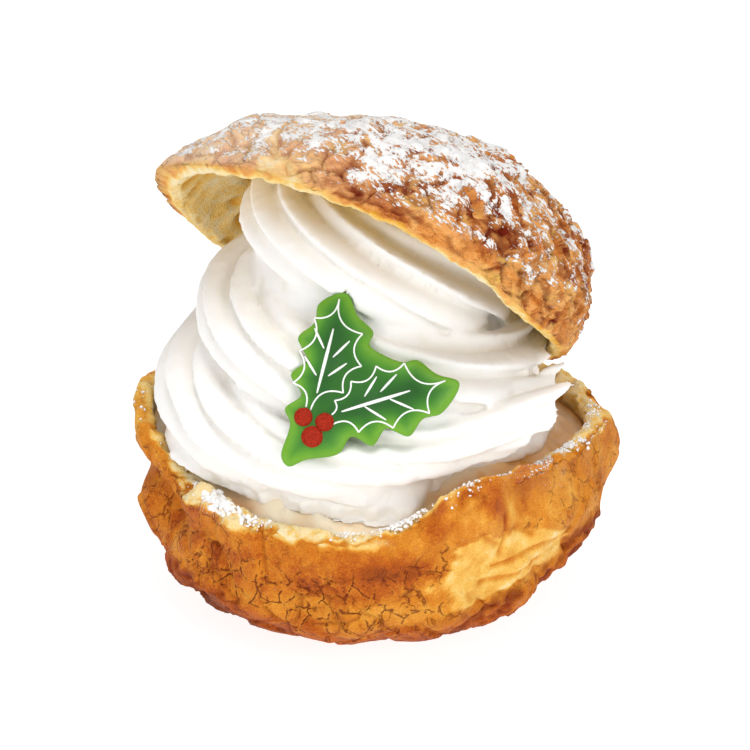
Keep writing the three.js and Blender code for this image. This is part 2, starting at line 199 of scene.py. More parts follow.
def hashed(cells: Array, seed: int) -> Array:
    """Repeatable random numbers from 0 to 1: the cell indices are multiplied by primes and mixed by shifts.

    Args:
        cells: whole numbers with three in the last axis.
        seed: picks another set of numbers.

    Returns:
        One number for each cell.
    """
    mixed = (cells * np.array(HASH_PRIMES)).astype(np.int64)
    start = seed * HASH_SEED_STEP + HASH_SEED_START
    mixed = (mixed[..., 0] ^ mixed[..., 1] ^ mixed[..., 2] ^ start) & HASH_MASK
    for _ in range(2):
        mixed = (((mixed >> 16) ^ mixed) * HASH_MIXER) & HASH_MASK
    return ((mixed >> 16) ^ mixed) / HASH_MASK


def value_noise(points: Array, size: float, seed: int) -> Array:
    """Smooth noise from -1 to 1: random numbers at the corners of cubes of that size, blended by smoothstep.

    Args:
        points: places in millimetres.
        size: side of the cubes in millimetres.
        seed: picks another pattern.

    Returns:
        One value for each point.
    """
    scaled = points / size
    low = np.floor(scaled).astype(np.int64)
    part = scaled - low
    part = part * part * (3 - 2 * part)
    total = np.zeros(points.shape[:-1])
    for corner in np.ndindex(2, 2, 2):
        weight = np.where(corner, part, 1 - part).prod(axis=-1)
        total += weight * hashed(low + corner, seed)
    return 2 * total - 1


@dataclass(frozen=True)
class Noise:
    """A fractal noise: the size of its broadest waves in millimetres, its pattern's seed and its octaves."""

    size: float
    seed: int
    octaves: int = 3

    def at(self, points: Array) -> Array:
        """A sum of noises, each with half the size and half the height of the one before."""
        return sum(
            value_noise(points, self.size / 2**i, self.seed + OCTAVE_SEED_STEP * i) / 2**i
            for i in range(self.octaves)
        )


def cell_field(points: Array, size: float, seed: int) -> tuple[Array, Array, Array, Array]:
    """Scattered cells: each cube of that size has one random middle.

    Args:
        points: places in millimetres.
        size: side of the cubes in millimetres.
        seed: picks another pattern.

    Returns:
        Distance to the nearest middle, extra distance to the second nearest, the nearest one's random number,
        and the height of a plate through that middle which leans in a random direction.
    """
    scaled = points / size
    low = np.floor(scaled).astype(np.int64)
    nearest = np.full(points.shape[:-1], np.inf)
    second = nearest.copy()
    owner = np.zeros_like(nearest)
    lean = np.zeros_like(nearest)
    for corner in np.ndindex(3, 3, 3):
        cell = low + corner - 1
        middle = cell + stack(*(hashed(cell, seed + axis) for axis in range(3)))
        offset = scaled - middle
        distance = np.linalg.norm(offset, axis=-1)
        closer = distance < nearest
        slope = stack(*(hashed(cell, seed + 4 + axis) for axis in range(3))) * 2 - 1
        lean = np.where(closer, (offset * slope).sum(axis=-1), lean)
        second = np.where(closer, nearest, np.minimum(second, distance))
        owner = np.where(closer, hashed(cell, seed + 3), owner)
        nearest = np.minimum(nearest, distance)
    return nearest * size, (second - nearest) * size, owner, lean * size


def spiral_directions(count: int) -> Array:
    """Unit vectors spread evenly over a sphere along a golden spiral."""
    index = np.arange(count)
    height = 1 - (2 * index + 1) / count
    spread = np.sqrt(1 - height**2)
    turn = math.pi * (3 - math.sqrt(5)) * index
    return stack(spread * np.cos(turn), spread * np.sin(turn), height)


# Meshes from arrays


def closed_skin(rings: Array) -> Skin:
    """A closed skin through rings of points, with a fan of triangles over each end.

    Args:
        rings: points of shape (rings, points round each ring, 3).

    Returns:
        The points, with the two end middles last, and the faces as arrays of quads and triangles.
    """
    count, sides, _ = rings.shape
    index = np.arange(count * sides).reshape(count, sides)
    after = np.roll(index, -1, axis=1)
    quads = stack(index[:-1], after[:-1], after[1:], index[1:]).reshape(-1, 4)
    first = np.full(sides, count * sides)
    fans = np.concatenate([stack(first, after[0], index[0]), stack(first + 1, index[-1], after[-1])])
    ends = np.stack([rings[0].mean(axis=0), rings[-1].mean(axis=0)])
    return np.concatenate([rings.reshape(-1, 3), ends]), [quads, fans]


def ring_normals(rings: Array) -> Array:
    """Outward normals of a closed skin's rings: the step round crossed with the step along."""
    around = np.roll(rings, -1, axis=1) - np.roll(rings, 1, axis=1)
    along = np.gradient(rings, axis=0)
    return unit(np.cross(around, along))


def joined(skins: Sequence[Skin]) -> Skin:
    """Several skins as one list of points and faces."""
    points, faces, offset = [], [], 0
    for skin_points, skin_faces in skins:
        points.append(skin_points)
        faces.extend(part + offset for part in skin_faces)
        offset += len(skin_points)
    return np.concatenate(points), faces


def unit_ball(sides: int, rows: int, reach: float) -> Array:
    """Rings of a ball of radius 1 between the latitudes -reach and reach."""
    turn = full_turn(sides)[None, :]
    rise = np.linspace(-reach, reach, rows)[:, None]
    return stack(np.cos(rise) * np.cos(turn), np.cos(rise) * np.sin(turn), np.sin(rise) + 0 * turn)


def mesh_object(name: str, points: Array, faces: Sequence[Array], tints: Tints) -> Piece:
    """A smooth mesh object at the origin.

    Args:
        name: name of the piece.
        points: places in millimetres.
        faces: arrays of corner indices, one array for each number of corners.
        tints: values to keep on the vertices.

    Returns:
        The new object, in the scene.
    """
    mesh = bpy.data.meshes.new(name)
    corners = np.concatenate([part.ravel() for part in faces])
    counts = np.concatenate([np.full(len(part), part.shape[1]) for part in faces])
    mesh.vertices.add(len(points))
    mesh.vertices.foreach_set("co", (points * MM).ravel())
    mesh.loops.add(len(corners))
    mesh.loops.foreach_set("vertex_index", corners)
    mesh.polygons.add(len(counts))
    mesh.polygons.foreach_set("loop_start", np.cumsum(counts) - counts)
    mesh.update(calc_edges=True)
    mesh.validate()
    return placed(name, mesh, tints)


def placed(name: str, mesh: bpy.types.Mesh, tints: Tints) -> Piece:
    """A mesh, painted on its vertices and shaded smooth, as an object in the scene."""
    for tint, values in tints.items():
        layer = mesh.attributes.new(tint.value, "FLOAT", "POINT")
        layer.data.foreach_set("value", np.clip(values, 0, 1).astype(np.float32).ravel())
    mesh.shade_smooth()
    piece = bpy.data.objects.new(name, mesh)
    bpy.context.scene.collection.objects.link(piece)
    return piece


def skin_object(name: str, rings: Array, tints: Tints) -> Piece:
    """A closed skin through rings as an object, with each end middle given its ring's mean tints."""
    points, faces = closed_skin(rings)
    return mesh_object(name, points, faces, {
        tint: np.concatenate([values.ravel(), [values[0].mean(), values[-1].mean()]])
        for tint, values in tints.items()
    })


def rows_of(source: bpy.types.bpy_prop_collection, name: str, kind: type, width: int) -> Array:
    """One property of all of a mesh's vertices, edges or normals, as rows of an array."""
    flat = np.empty(width * len(source), kind)
    source.foreach_get(name, flat)
    return flat.reshape(-1, width)


def mount_piece(piece: Piece, finish: "Finish", slot: Slot, node: Node | None = None) -> None:
    """Gives a piece its finish and its body, and hides the solid that it stands for."""
    piece.data.materials.append(finish.material())
    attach(piece, BODY)
    if node:
        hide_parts(node.value)
    LOG.info("%s: %d faces", piece.name, len(piece.data.polygons))


# Materials

MIX_FACTOR, MIX_FIRST, MIX_SECOND, MIX_RESULT = 0, 6, 7, 2


def linear(colour: str) -> tuple[float, float, float, float]:
    """An sRGB hex colour as linear red, green and blue, with full alpha."""
    channels = (int(colour[i : i + 2], 16) / 255 for i in (1, 3, 5))
    light = [c / 12.92 if c <= 0.04045 else ((c + 0.055) / 1.055) ** 2.4 for c in channels]
    return (*light, 1.0)


def per_size(millimetres: float) -> float:
    """The texture scale that makes a pattern's features this large."""
    return 1 / (millimetres * MM)


def add_node(
    tree: Tree,
    kind: str,
    inputs: dict | None = None,
    stops: Stops = (),
    **settings: object,
) -> ShaderNode:
    """Adds a node with its settings and links.

    Args:
        tree: the material's node tree.
        kind: Blender's name of the node's type, without the words ShaderNode before it.
        inputs: a value, an output socket or a node, for its first output, by each input's name or number.
        stops: places and colours of a colour ramp.
        settings: other properties of the node.

    Returns:
        The new node.
    """
    node = tree.nodes.new("ShaderNode" + kind)
    for name, value in settings.items():
        setattr(node, name, value)
    for key, value in (inputs or {}).items():
        if isinstance(value, ShaderNode):
            tree.links.new(value.outputs[0], node.inputs[key])
        elif isinstance(value, Socket):
            tree.links.new(value, node.inputs[key])
        else:
            node.inputs[key].default_value = value
    for i, (place, colour) in enumerate(stops):
        elements = node.color_ramp.elements
        element = elements[i] if i < len(elements) else elements.new(place)
        element.position = place
        element.color = linear(colour)
    return node


@dataclass(frozen=True)
class Finish:
    """A material: its name and the shader's even values."""

    name: str
    roughness: float = 0.5
    subsurface: float = 0.0
    subsurface_reach: float = 1.0
    subsurface_colour: Triple = (1.0, 0.8, 0.6)
    specular: float = 0.5

    def material(self) -> bpy.types.Material:
        """The finish as a new material."""
        made = bpy.data.materials.new(self.name)
        made.use_nodes = True
        tree = made.node_tree
        tree.nodes.clear()
        shader = add_node(tree, "BsdfPrincipled", {
            "Roughness": self.roughness,
            "Specular IOR Level": self.specular,
            "Subsurface Weight": self.subsurface,
            "Subsurface Radius": self.subsurface_colour,
            "Subsurface Scale": self.subsurface_reach * MM,
            **self.dress(tree),
        })
        add_node(tree, "OutputMaterial", {"Surface": shader})
        return made

    def dress(self, tree: Tree) -> dict[str, Source]:
        """Adds the nodes of the patterns and tells which of the shader's inputs they feed."""
        raise NotImplementedError


@dataclass(frozen=True)
class CrustFinish(Finish):
    """Baked choux: pale gold where the dough stretched, orange-brown plates, dark cracks and a dry crumb."""

    grain_size: float = 0.3
    grain_tone: float = 0.5
    mottle_size: float = 3.2
    mottle_tone: float = 0.45
    plate_tone: float = 0.1
    plate_step: float = 0.3
    crack_size: float = 4.2
    crack_width: float = 0.22
    crack_strength: float = 0.88
    edge_highlight: float = 0.08
    break_size: float = 1.8
    hairline_size: float = 1.9
    hairline_width: float = 0.12
    crack_wander: float = 0.6
    plates_open: Pair = (0.45, 0.53)
    hairlines_open: Pair = (0.5, 0.66)
    stretch_axis: Triple = (0.0, 0.0, 1.0)
    stretch: float = 0.0
    # Grains of sieved sugar are finer than the picture can show, so they are drawn this coarse.
    speck_size: float = 0.4
    speck_contrast: float = 2.2
    speck_edge: Pair = (0.46, 0.58)
    speck_height: float = 0.35
    speck_roughness: float = 0.9
    gloss_roughness: float = 0.25
    bump_height: float = 0.38
    bump_strength: float = 0.9
    edge_rounding: float = 0.5
    crust: Stops = (
        (0.0, "#FFEBB2"),
        (0.2, "#FBC75E"),
        (0.42, "#E99D38"),
        (0.55, "#DC8724"),
        (0.75, "#BC5A12"),
        (1.0, "#78340B"),
    )
    crumb: Stops = (
        (0.0, "#FCEDC6"),
        (0.25, "#FAD684"),
        (0.5, "#F4B640"),
        (0.75, "#D28722"),
        (1.0, "#9A5512"),
    )
    crack_colour: str = "#782003"
    sugar_colour: str = "#FFFDFB"
    haze_colour: str = "#F6E4DA"

    def net(self, tree: Tree, place: Source, size: float, width: float) -> tuple[Source, Source, Source]:
        """A net of cracks: 1 on the borders of cells, which wander by a noise, and 0 away from them.

        Args:
            tree: the material's node tree.
            place: the coordinates.
            size: size of the cells in millimetres.
            width: width of the cracks in millimetres.

        Returns:
            The cracks' mask, a wider one for the plates' rounded edges, which also carries their painted
            highlight, and the plates' tones.
        """
        add = partial(add_node, tree)
        bend = add("TexNoise", {"Vector": place, "Scale": per_size(size / 2), "Detail": 6.0})
        moved = add("VectorMath", {
            0: bend.outputs["Color"], 1: (self.crack_wander * size * MM,) * 3, 2: place,
        }, operation="MULTIPLY_ADD")
        cells = {"Vector": moved, "Scale": per_size(size)}
        edges = add("TexVoronoi", cells, feature="DISTANCE_TO_EDGE")
        masks = (
            add("MapRange", {
                "Value": edges.outputs["Distance"], "To Min": 1.0, "To Max": 0.0,
                "From Min": low * width / size, "From Max": high * width / size,
            })
            for low, high in ((0.2, 0.9), (0.0, 4.0))
        )
        return (*masks, add("TexVoronoi", cells).outputs["Color"])

    def dress(self, tree: Tree) -> dict[str, Source]:
        """Crust and crumb ramps by the painted bake, cracks over them, then a haze and specks of sugar."""
        add = partial(add_node, tree)
        place = add("TexCoord").outputs["Object"]
        tint = {
            t: add("Attribute", attribute_name=t.value).outputs["Fac"]
            for t in (Tint.BAKE, Tint.CRACK, Tint.DARK, Tint.CRUMB, Tint.SUGAR, Tint.HAZE, Tint.GLOSS)
        }
        along = add("VectorMath", {0: place, 1: self.stretch_axis}, operation="DOT_PRODUCT")
        shift = add("VectorMath", {
            0: self.stretch_axis, "Scale": along.outputs["Value"],
        }, operation="SCALE")
        drawn_out = add("VectorMath", {
            0: shift, 1: (-self.stretch,) * 3, 2: place,
        }, operation="MULTIPLY_ADD")
        grain, mottle, gate, speck = (
            add("TexNoise", {"Vector": where, "Scale": per_size(size), "Detail": detail, "Roughness": 0.6})
            for where, size, detail in (
                (place, self.grain_size, 4.0),
                (drawn_out, self.mottle_size, 5.0),
                (place, self.break_size, 2.0),
                (drawn_out, self.speck_size, 3.0),
            )
        )
        plates, edges, tones = self.net(tree, drawn_out, self.crack_size, self.crack_width)
        hairlines, _, _ = self.net(tree, drawn_out, self.hairline_size, self.hairline_width)
        level = tint[Tint.BAKE]
        for pattern, strength in (
            (mottle, self.mottle_tone), (grain, self.grain_tone), (tones, self.plate_tone)
        ):
            part = add("Math", {0: pattern, 1: strength, 2: -0.5 * strength}, operation="MULTIPLY_ADD")
            level = add("Math", {0: level, 1: part}, operation="ADD")
        # Painted highlight: the plates' rounded edges are made paler, as if lit.
        lit_edge = add("Math", {0: edges, 1: tint[Tint.CRACK]}, operation="MULTIPLY")
        level = add("Math", {0: lit_edge, 1: -self.edge_highlight, 2: level}, operation="MULTIPLY_ADD")

        # Cracks too fine for the mesh: a net of plates broken here and there, and a faint finer net.
        broken, faint = (
            add("Math", {
                0: cracks, 1: add("MapRange", {"Value": where, "From Min": low, "From Max": high}),
            }, operation="MULTIPLY")
            for cracks, where, (low, high) in (
                (plates, gate, self.plates_open), (hairlines, mottle, self.hairlines_open)
            )
        )
        lines = add("Math", {0: broken, 1: faint}, operation="MAXIMUM")
        lines = add("Math", {0: lines, 1: tint[Tint.CRACK]}, operation="MULTIPLY")
        dark = add("Math", {0: lines, 1: self.crack_strength}, operation="MULTIPLY")
        # The painted dark value adds painted shade in pits and hollows to the cracks.
        dark = add("Math", {0: dark, 1: tint[Tint.DARK]}, operation="MAXIMUM")

        # Sugar lies where its specks and its painted amount are high together.
        cover = add("Math", {
            0: speck, 1: self.speck_contrast, 2: -0.5 * self.speck_contrast,
        }, operation="MULTIPLY_ADD")
        cover = add("Math", {0: cover, 1: tint[Tint.SUGAR]}, operation="ADD")
        low, high = self.speck_edge
        sugared = add("MapRange", {"Value": cover, "From Min": low, "From Max": high})
        colour = add("ValToRGB", {0: level}, self.crust)
        for factor, over in (
            (dark, linear(self.crack_colour)),
            (tint[Tint.CRUMB], add("ValToRGB", {0: level}, self.crumb)),
            (tint[Tint.HAZE], linear(self.haze_colour)),
            (sugared, linear(self.sugar_colour)),
        ):
            colour = add("Mix", {
                MIX_FACTOR: factor, MIX_FIRST: colour, MIX_SECOND: over,
            }, data_type="RGBA").outputs[MIX_RESULT]

        shine = add("MapRange", {
            "Value": tint[Tint.GLOSS], "To Min": self.roughness, "To Max": self.gloss_roughness,
        })
        dull = add("MapRange", {"Value": sugared, "To Min": shine, "To Max": self.speck_roughness})
        height = add("Math", {0: sugared, 1: self.speck_height, 2: grain}, operation="MULTIPLY_ADD")
        height = add("Math", {0: lines, 1: -1.0, 2: height}, operation="MULTIPLY_ADD")
        step = add("Math", {0: tones, 1: self.plate_step}, operation="MULTIPLY")
        step = add("Math", {0: edges, 1: -self.edge_rounding, 2: step}, operation="MULTIPLY_ADD")
        height = add("Math", {0: step, 1: tint[Tint.CRACK], 2: height}, operation="MULTIPLY_ADD")
        bump = add("Bump", {
            "Height": height, "Distance": self.bump_height * MM, "Strength": self.bump_strength,
        })
        return {"Base Color": colour, "Roughness": dull, "Normal": bump}


@dataclass(frozen=True)
class SoftFinish(Finish):
    """A soft even food: its colour drifts a little, warms by its painted crease value, a painted shade on the
    cream, and has a fine uneven skin.
    """

    light: str = "#FFFFFF"
    shade: str = "#E9DFC9"
    # The crease colour: painted shade on the cream; on the custard, amber and painted shade in its dips.
    crease: str = "#E2CFA6"
    drift_size: float = 9.0
    pore_size: float = 0.8
    pore_height: float = 0.05
    tone_places: Pair = (0.35, 0.75)

    def dress(self, tree: Tree) -> dict[str, Source]:
        """Two tones by a broad noise, the crease colour by the painted crease, and a bump by a fine noise."""
        add = partial(add_node, tree)
        place = add("TexCoord").outputs["Object"]
        drift, pores = (
            add("TexNoise", {"Vector": place, "Scale": per_size(size), "Detail": 4.0})
            for size in (self.drift_size, self.pore_size)
        )
        tones = tuple(zip(self.tone_places, (self.light, self.shade)))
        crease = add("Attribute", attribute_name=Tint.CREASE.value)
        colour = add("Mix", {
            MIX_FACTOR: crease.outputs["Fac"],
            MIX_FIRST: add("ValToRGB", {0: drift}, tones),
            MIX_SECOND: linear(self.crease),
        }, data_type="RGBA")
        bump = add("Bump", {"Height": pores, "Distance": self.pore_height * MM})
        return {"Base Color": colour.outputs[MIX_RESULT], "Normal": bump}


@dataclass(frozen=True)
class LeafFinish(Finish):
    """Moulded sugar paste: light green at its thin edge, deeper green inside, with a satin skin."""

    stops: Stops = (
        (0.0, "#6EA52C"),
        (0.22, "#508F29"),
        (0.5, "#387824"),
        (1.0, "#235C1F"),
    )
    cloud_size: float = 4.0
    cloud_tone: float = 0.3
    cloud_height: float = 0.1

    def dress(self, tree: Tree) -> dict[str, Source]:
        """A ramp by the painted depth inside the outline, clouded by noise."""
        add = partial(add_node, tree)
        place = add("TexCoord").outputs["Object"]
        depth = add("Attribute", attribute_name=Tint.DEPTH.value).outputs["Fac"]
        cloud = add("TexNoise", {"Vector": place, "Scale": per_size(self.cloud_size), "Detail": 3.0})
        drift = add("Math", {
            0: cloud, 1: self.cloud_tone, 2: -0.5 * self.cloud_tone,
        }, operation="MULTIPLY_ADD")
        level = add("Math", {0: depth, 1: drift}, operation="ADD")
        colour = add("ValToRGB", {0: level}, self.stops)
        bump = add("Bump", {"Height": cloud, "Distance": self.cloud_height * MM})
        return {"Base Color": colour, "Normal": bump}


@dataclass(frozen=True)
class GrainFinish(Finish):
    """A granular sugar: two tones in grains with a bump of the same size, drawn coarse enough to show."""

    light: str = "#FFFFFF"
    shade: str = "#F1ECE6"
    grain_size: float = 0.3
    grain_height: float = 0.12
    tone_places: Pair = (0.35, 0.65)

    def dress(self, tree: Tree) -> dict[str, Source]:
        """One noise drives the two tones and the bump."""
        add = partial(add_node, tree)
        place = add("TexCoord").outputs["Object"]
        grain = add("TexNoise", {"Vector": place, "Scale": per_size(self.grain_size), "Detail": 2.0})
        tones = tuple(zip(self.tone_places, (self.shade, self.light)))
        colour = add("ValToRGB", {0: grain}, tones)
        bump = add("Bump", {"Height": grain, "Distance": self.grain_height * MM})
        return {"Base Color": colour, "Normal": bump}


# Direction down the front of the dome, along which the cap's flakes and dusting are drawn out.
FLAKE_AXIS = (0.72, -0.35, -0.6)

# Baked choux of the base: browner and more cracked than the cap, with a glossy amber patch.
BASE_CRUST = CrustFinish("baked_choux_base", roughness=0.6, specular=0.14)
# Baked choux of the cap: pinker under its dusting of sugar, with flakes and streaks down the dome.
CAP_CRUST = CrustFinish(
    "baked_choux_cap", roughness=0.6, specular=0.12, stretch_axis=FLAKE_AXIS, stretch=0.6,
    speck_size=0.5, mottle_size=1.7, mottle_tone=0.6,
    plate_tone=0.22, plate_step=0.4, crack_size=2.8, crack_width=0.2,
    crust=(
        (0.0, "#FFE8AA"),
        (0.2, "#FBC862"),
        (0.4, "#F3B066"),
        (0.55, "#E69748"),
        (0.75, "#C06824"),
        (1.0, "#76340D"),
    ),
)
# Piped whipped cream: matte, bright white and a little see-through, with a painted shade a touch warmer where
# its lobes meet.
WHIPPED_CREAM = SoftFinish(
    "piped_whipped_cream", roughness=0.7, subsurface=0.12, subsurface_reach=0.8,
    light="#FEFCFA", shade="#FCFAF7", crease="#FAF6EE", pore_size=0.5, pore_height=0.05,
)
# Custard: ivory, moist and softly lumpy.
CUSTARD_CREAM = SoftFinish(
    "custard_cream", roughness=0.38, subsurface=0.3, subsurface_reach=2.0,
    light="#FFF3DC", shade="#FFE9C4", crease="#F2A42A", drift_size=6.0, pore_size=1.2, pore_height=0.12,
)
# Moulded sugar paste, satin from its mould.
LEAF_PASTE = LeafFinish("green_sugar_paste", roughness=0.42, specular=0.3, subsurface=0.08)
# Piped royal icing, a chalky white.
WHITE_ICING = GrainFinish("white_royal_icing", roughness=0.6, shade="#F4FAF4", grain_height=0.03)
# Berries of coloured sugar with a grainy skin.
RED_SUGAR = GrainFinish(
    "red_grained_sugar", roughness=0.7, specular=0.15,
    light="#AE2C14", shade="#8E1F0E", grain_size=0.35,
)
# Clumps of icing sugar.
ICING_SUGAR = GrainFinish("icing_sugar_clumps", roughness=0.85, subsurface=0.2, subsurface_reach=0.5)


# Crust relief


@dataclass(frozen=True)
class CrustRelief:
    """Low relief of a crust as the solids have it: broad lumps and plates that stand at uneven heights."""

    seed: int
    size: float
    lump_size: float = 19.0
    lump_height: float = 0.65
    waves: int = 12
    quickening: float = 0.06
    plates: int = 190
    scatter: float = 0.07
    paces: Triple = (5.1, 3.7, 4.3)
    step_pace: float = 7.3
    step: float = 0.55
    crack_width: float = 2.4
    crack_depth: float = 0.8
    crack_share: float = 0.45

    def lumps(self, points: Array) -> Array:
        """Plane waves in spiral directions, each a little shorter than the last, summed."""
        index = np.arange(self.waves)
        along = points @ spiral_directions(self.waves).T
        phase = 2 * math.pi * (1 + self.quickening * index) * along / self.lump_size
        return np.sin(phase + index**2 + self.seed).sum(axis=-1) / math.sqrt(self.waves / 2)

    def height(self, directions: Array) -> Array:
        """Lumps plus the plates' own heights, less part of the wide cracks between plates.

        Args:
            directions: unit vectors from the middle of the shell.

        Returns:
            Height in millimetres in each direction.
        """
        index = np.arange(self.plates)
        push = np.sin(np.outer(index, self.paces) + self.seed)
        middles = unit(spiral_directions(self.plates) + self.scatter * push).astype(np.float32)
        shape = directions.shape[:-1]
        match = directions.reshape(-1, 3).astype(np.float32) @ middles.T
        owner = match.argmax(axis=-1)
        rows = np.arange(len(owner))
        nearest = match[rows, owner]
        match[rows, owner] = -1
        first, second = (
            self.size * np.sqrt(np.maximum(2 - 2 * m, 0)) for m in (nearest, match.max(axis=-1))
        )
        share = smoothstep(second - first, 0, self.crack_width).reshape(shape)
        plate = self.step * np.sin(self.step_pace * owner + self.seed).reshape(shape)
        wide_crack = (1 - share) * self.crack_depth * self.crack_share
        return self.lump_height * self.lumps(directions * self.size) + share * plate - wide_crack


@dataclass(frozen=True)
class Crackle:
    """A net of cracks: the borders of scattered cells on wandering coordinates."""

    size: float
    width: float
    depth: float
    wander: float
    seed: int

    def lines(self, points: Array) -> tuple[Array, Array, Array]:
        """The bell curve of the distance to the nearest border, each plate's random number, and its lean."""
        bend = stack(*(Noise(self.size, self.seed + BEND_SEED_STEP + axis).at(points) for axis in range(3)))
        _, border, owner, lean = cell_field(points + self.wander * bend, self.size, self.seed)
        return np.exp(-((border / self.width) ** 2)), owner, lean


@dataclass(frozen=True)
class Bubbles:
    """Round hollows in dough: the size of their cells in millimetres, the seed, and their reach as shares."""

    size: float
    seed: int
    least: float = 0.28
    spread: float = 0.24

    def at(self, points: Array) -> Array:
        """1 in the middle of each scattered cell, falling as a parabola to 0 at the cell's own reach."""
        nearest, _, owner, _ = cell_field(points, self.size, self.seed)
        reach = self.size * (self.least + self.spread * owner)
        return np.clip(1 - (nearest / reach) ** 2, 0, 1)


# Choux base


@dataclass
class ChouxBase:
    """The hollow lower shell, with a torn rim that rises to the right and back."""

    radius: float = 40.2
    belly: float = 16.0
    below: float = 17.4
    above: float = 40.0
    rim: float = 29.5
    wall: float = 4.0
    foot: float = 6.0
    floor: float = 4.5
    rim_rounding: float = 0.8
    # The grid
    columns: int = 620
    underside_rows: int = 5
    crust_rows: int = 108
    rim_rows: int = 10
    inner_rows: int = 26
    # The torn rim and the worked dough
    torn: tuple[Feature, ...] = (
        Feature(168, 27, 6.8, 4.2),
        Feature(8, 32, 3.8, 1.5),
        Feature(322, 36, 0.6, 6.2),
        Feature(296, 16, 0.0, 4.6),
        Feature(200, 8, -2.6, -3.6),
    )
    groove: Feature = Feature(184, 24, -4.4)
    groove_share: float = 0.8
    groove_depth: float = 0.09
    sunken: Feature = Feature(312, 58, -2.6)
    relief: CrustRelief = CrustRelief(seed=1, size=40.2)
    plates: Crackle = Crackle(6.5, 0.34, 0.4, 1.6, 11)
    folds: tuple[tuple[Pair, ...], ...] = (
        ((304.6, 33.0), (304.2, 29.0), (303.5, 25.0)),
        ((301.7, 22.6), (309.5, 23.4), (316.7, 24.2), (323.5, 22.6)),
        ((308.0, 29.5), (313.0, 27.0)),
        ((297.0, 31.0), (302.0, 27.5)),
        ((299.0, 19.5), (309.0, 19.0), (317.0, 20.5)),
    )
    fold_width: float = 0.6
    # Patterns
    ragged: Noise = Noise(5.0, 28)
    ragged_fine: Noise = Noise(1.7, 29, 2)
    drift: Noise = Noise(14.0, 21)
    rough: Noise = Noise(3.0, 22, 4)
    cracked: Noise = Noise(11.0, 23)
    craggy: Noise = Noise(5.0, 25)
    streaked: Noise = Noise(2.6, 26)
    streak_draw: Triple = (1, 1, 0.35)
    sugar_patches: Noise = Noise(4.0, 27)
    pits: Bubbles = Bubbles(2.4, 30)
    holes: Bubbles = Bubbles(4.4, 31)
    small_holes: Bubbles = Bubbles(1.6, 32)
    # Places with a tone or texture of their own
    pale_patch: Feature = Feature(307, 20)
    pale_foot: float = 17.0
    pale_peak: Pair = (298, 29.5)
    pale_slope: float = 0.25
    amber_patch: Feature = Feature(304, 17)
    crags: tuple[Patch, ...] = (
        Patch(Feature(314, 24), 8, 14, 3),
        Patch(Feature(338, 12), 15, 20, 3),
        Patch(Feature(213, 20), 8, 14, 3),
    )
    smooth_front: Feature = Feature(270, 42)
    cracked_front: Feature = Feature(245, 62)
    smudge: tuple[Triple, Triple] = ((4.3, -39, 25.6), (6.5, 6, 3.0))
    left_bake_and_shade: Feature = Feature(210, 34)
    brown_right: Feature = Feature(340, 20)
    brown_front: Patch = Patch(Feature(266, 36), 20, 28, 3)
    brown_rim: Feature = Feature(290, 9)
    brown_lip: Patch = Patch(Feature(193, 7), 26, 32, 2)
    pale_lip: Feature = Feature(176, 20)
    browned_crumb: tuple[Feature, Feature] = (Feature(308, 30), Feature(174, 25))
    painted_light_crumb: Feature = Feature(204, 14)
    golden_wall: Feature = Feature(350, 48)
    # Places with sugar
    sugar_left: Feature = Feature(223, 9)
    sugar_outside: Feature = Feature(331, 13)
    sugar_right: Feature = Feature(335, 28)
    sugar_front: Feature = Feature(272, 14)
    sugar_limit: float = 0.75

    def rim_height(self, angle: Array) -> Array:
        """The mean rim height plus each torn feature's rise."""
        return self.rim + sum(f.up * f.near(angle) for f in self.torn)

    def thickness(self, share: Array) -> Array:
        """The wall, which thickens towards the floor as the cube of the depth."""
        return self.wall + self.foot * (1 - share) ** 3

    def point(self, angle: Array, share: Array, inset: Array | float = 0.0) -> Array:
        """The wall as two half ellipses about the belly, pushed out or in and lifted by the torn features.

        Args:
            angle: angle round the puff.
            share: share of the rim's height.
            inset: distance inwards from the smooth outer face.

        Returns:
            Points in millimetres.
        """
        height = share * self.rim
        reach = np.where(height < self.belly, self.below, self.above)
        round_part = self.radius * np.sqrt(1 - ((height - self.belly) / reach) ** 2)
        drawn_in = self.sunken.out * self.sunken.near(angle) * (1 - smoothstep(share, 0.5, 0.8))
        pushed = sum(f.out * f.near(angle) for f in self.torn) * smoothstep(share, 0.4, 0.95)
        beside = (share - self.groove_share) / self.groove_depth
        grooved = self.groove.out * self.groove.near(angle) * np.exp(-(beside**2))
        radius = round_part + drawn_in + pushed + np.where(np.asarray(inset) > 0, 0, grooved) - inset
        lift = 1 + (self.rim_height(angle) / self.rim - 1) * smoothstep(share, 0.3, 1)
        return stack(radius * np.cos(angle), radius * np.sin(angle), height * lift)

    def inner_radius(self, angle: Array, height: Array) -> Array:
        """Radius of the inner face at a height, by the share of the rim's height there."""
        share = np.clip(height / self.rim_height(angle), 0.1, 1)
        points = self.point(angle, share, self.thickness(share))
        return np.hypot(points[..., 0], points[..., 1])

    def rim_point(self, angle: Array, across: Array) -> Array:
        """The torn rim from its outer edge (0) to its inner one (1), arched by half a sine wave."""
        points = self.point(angle, np.ones_like(angle), self.wall * across + 1e-6)
        points[..., 2] += self.rim_rounding * np.sin(math.pi * across)
        return points

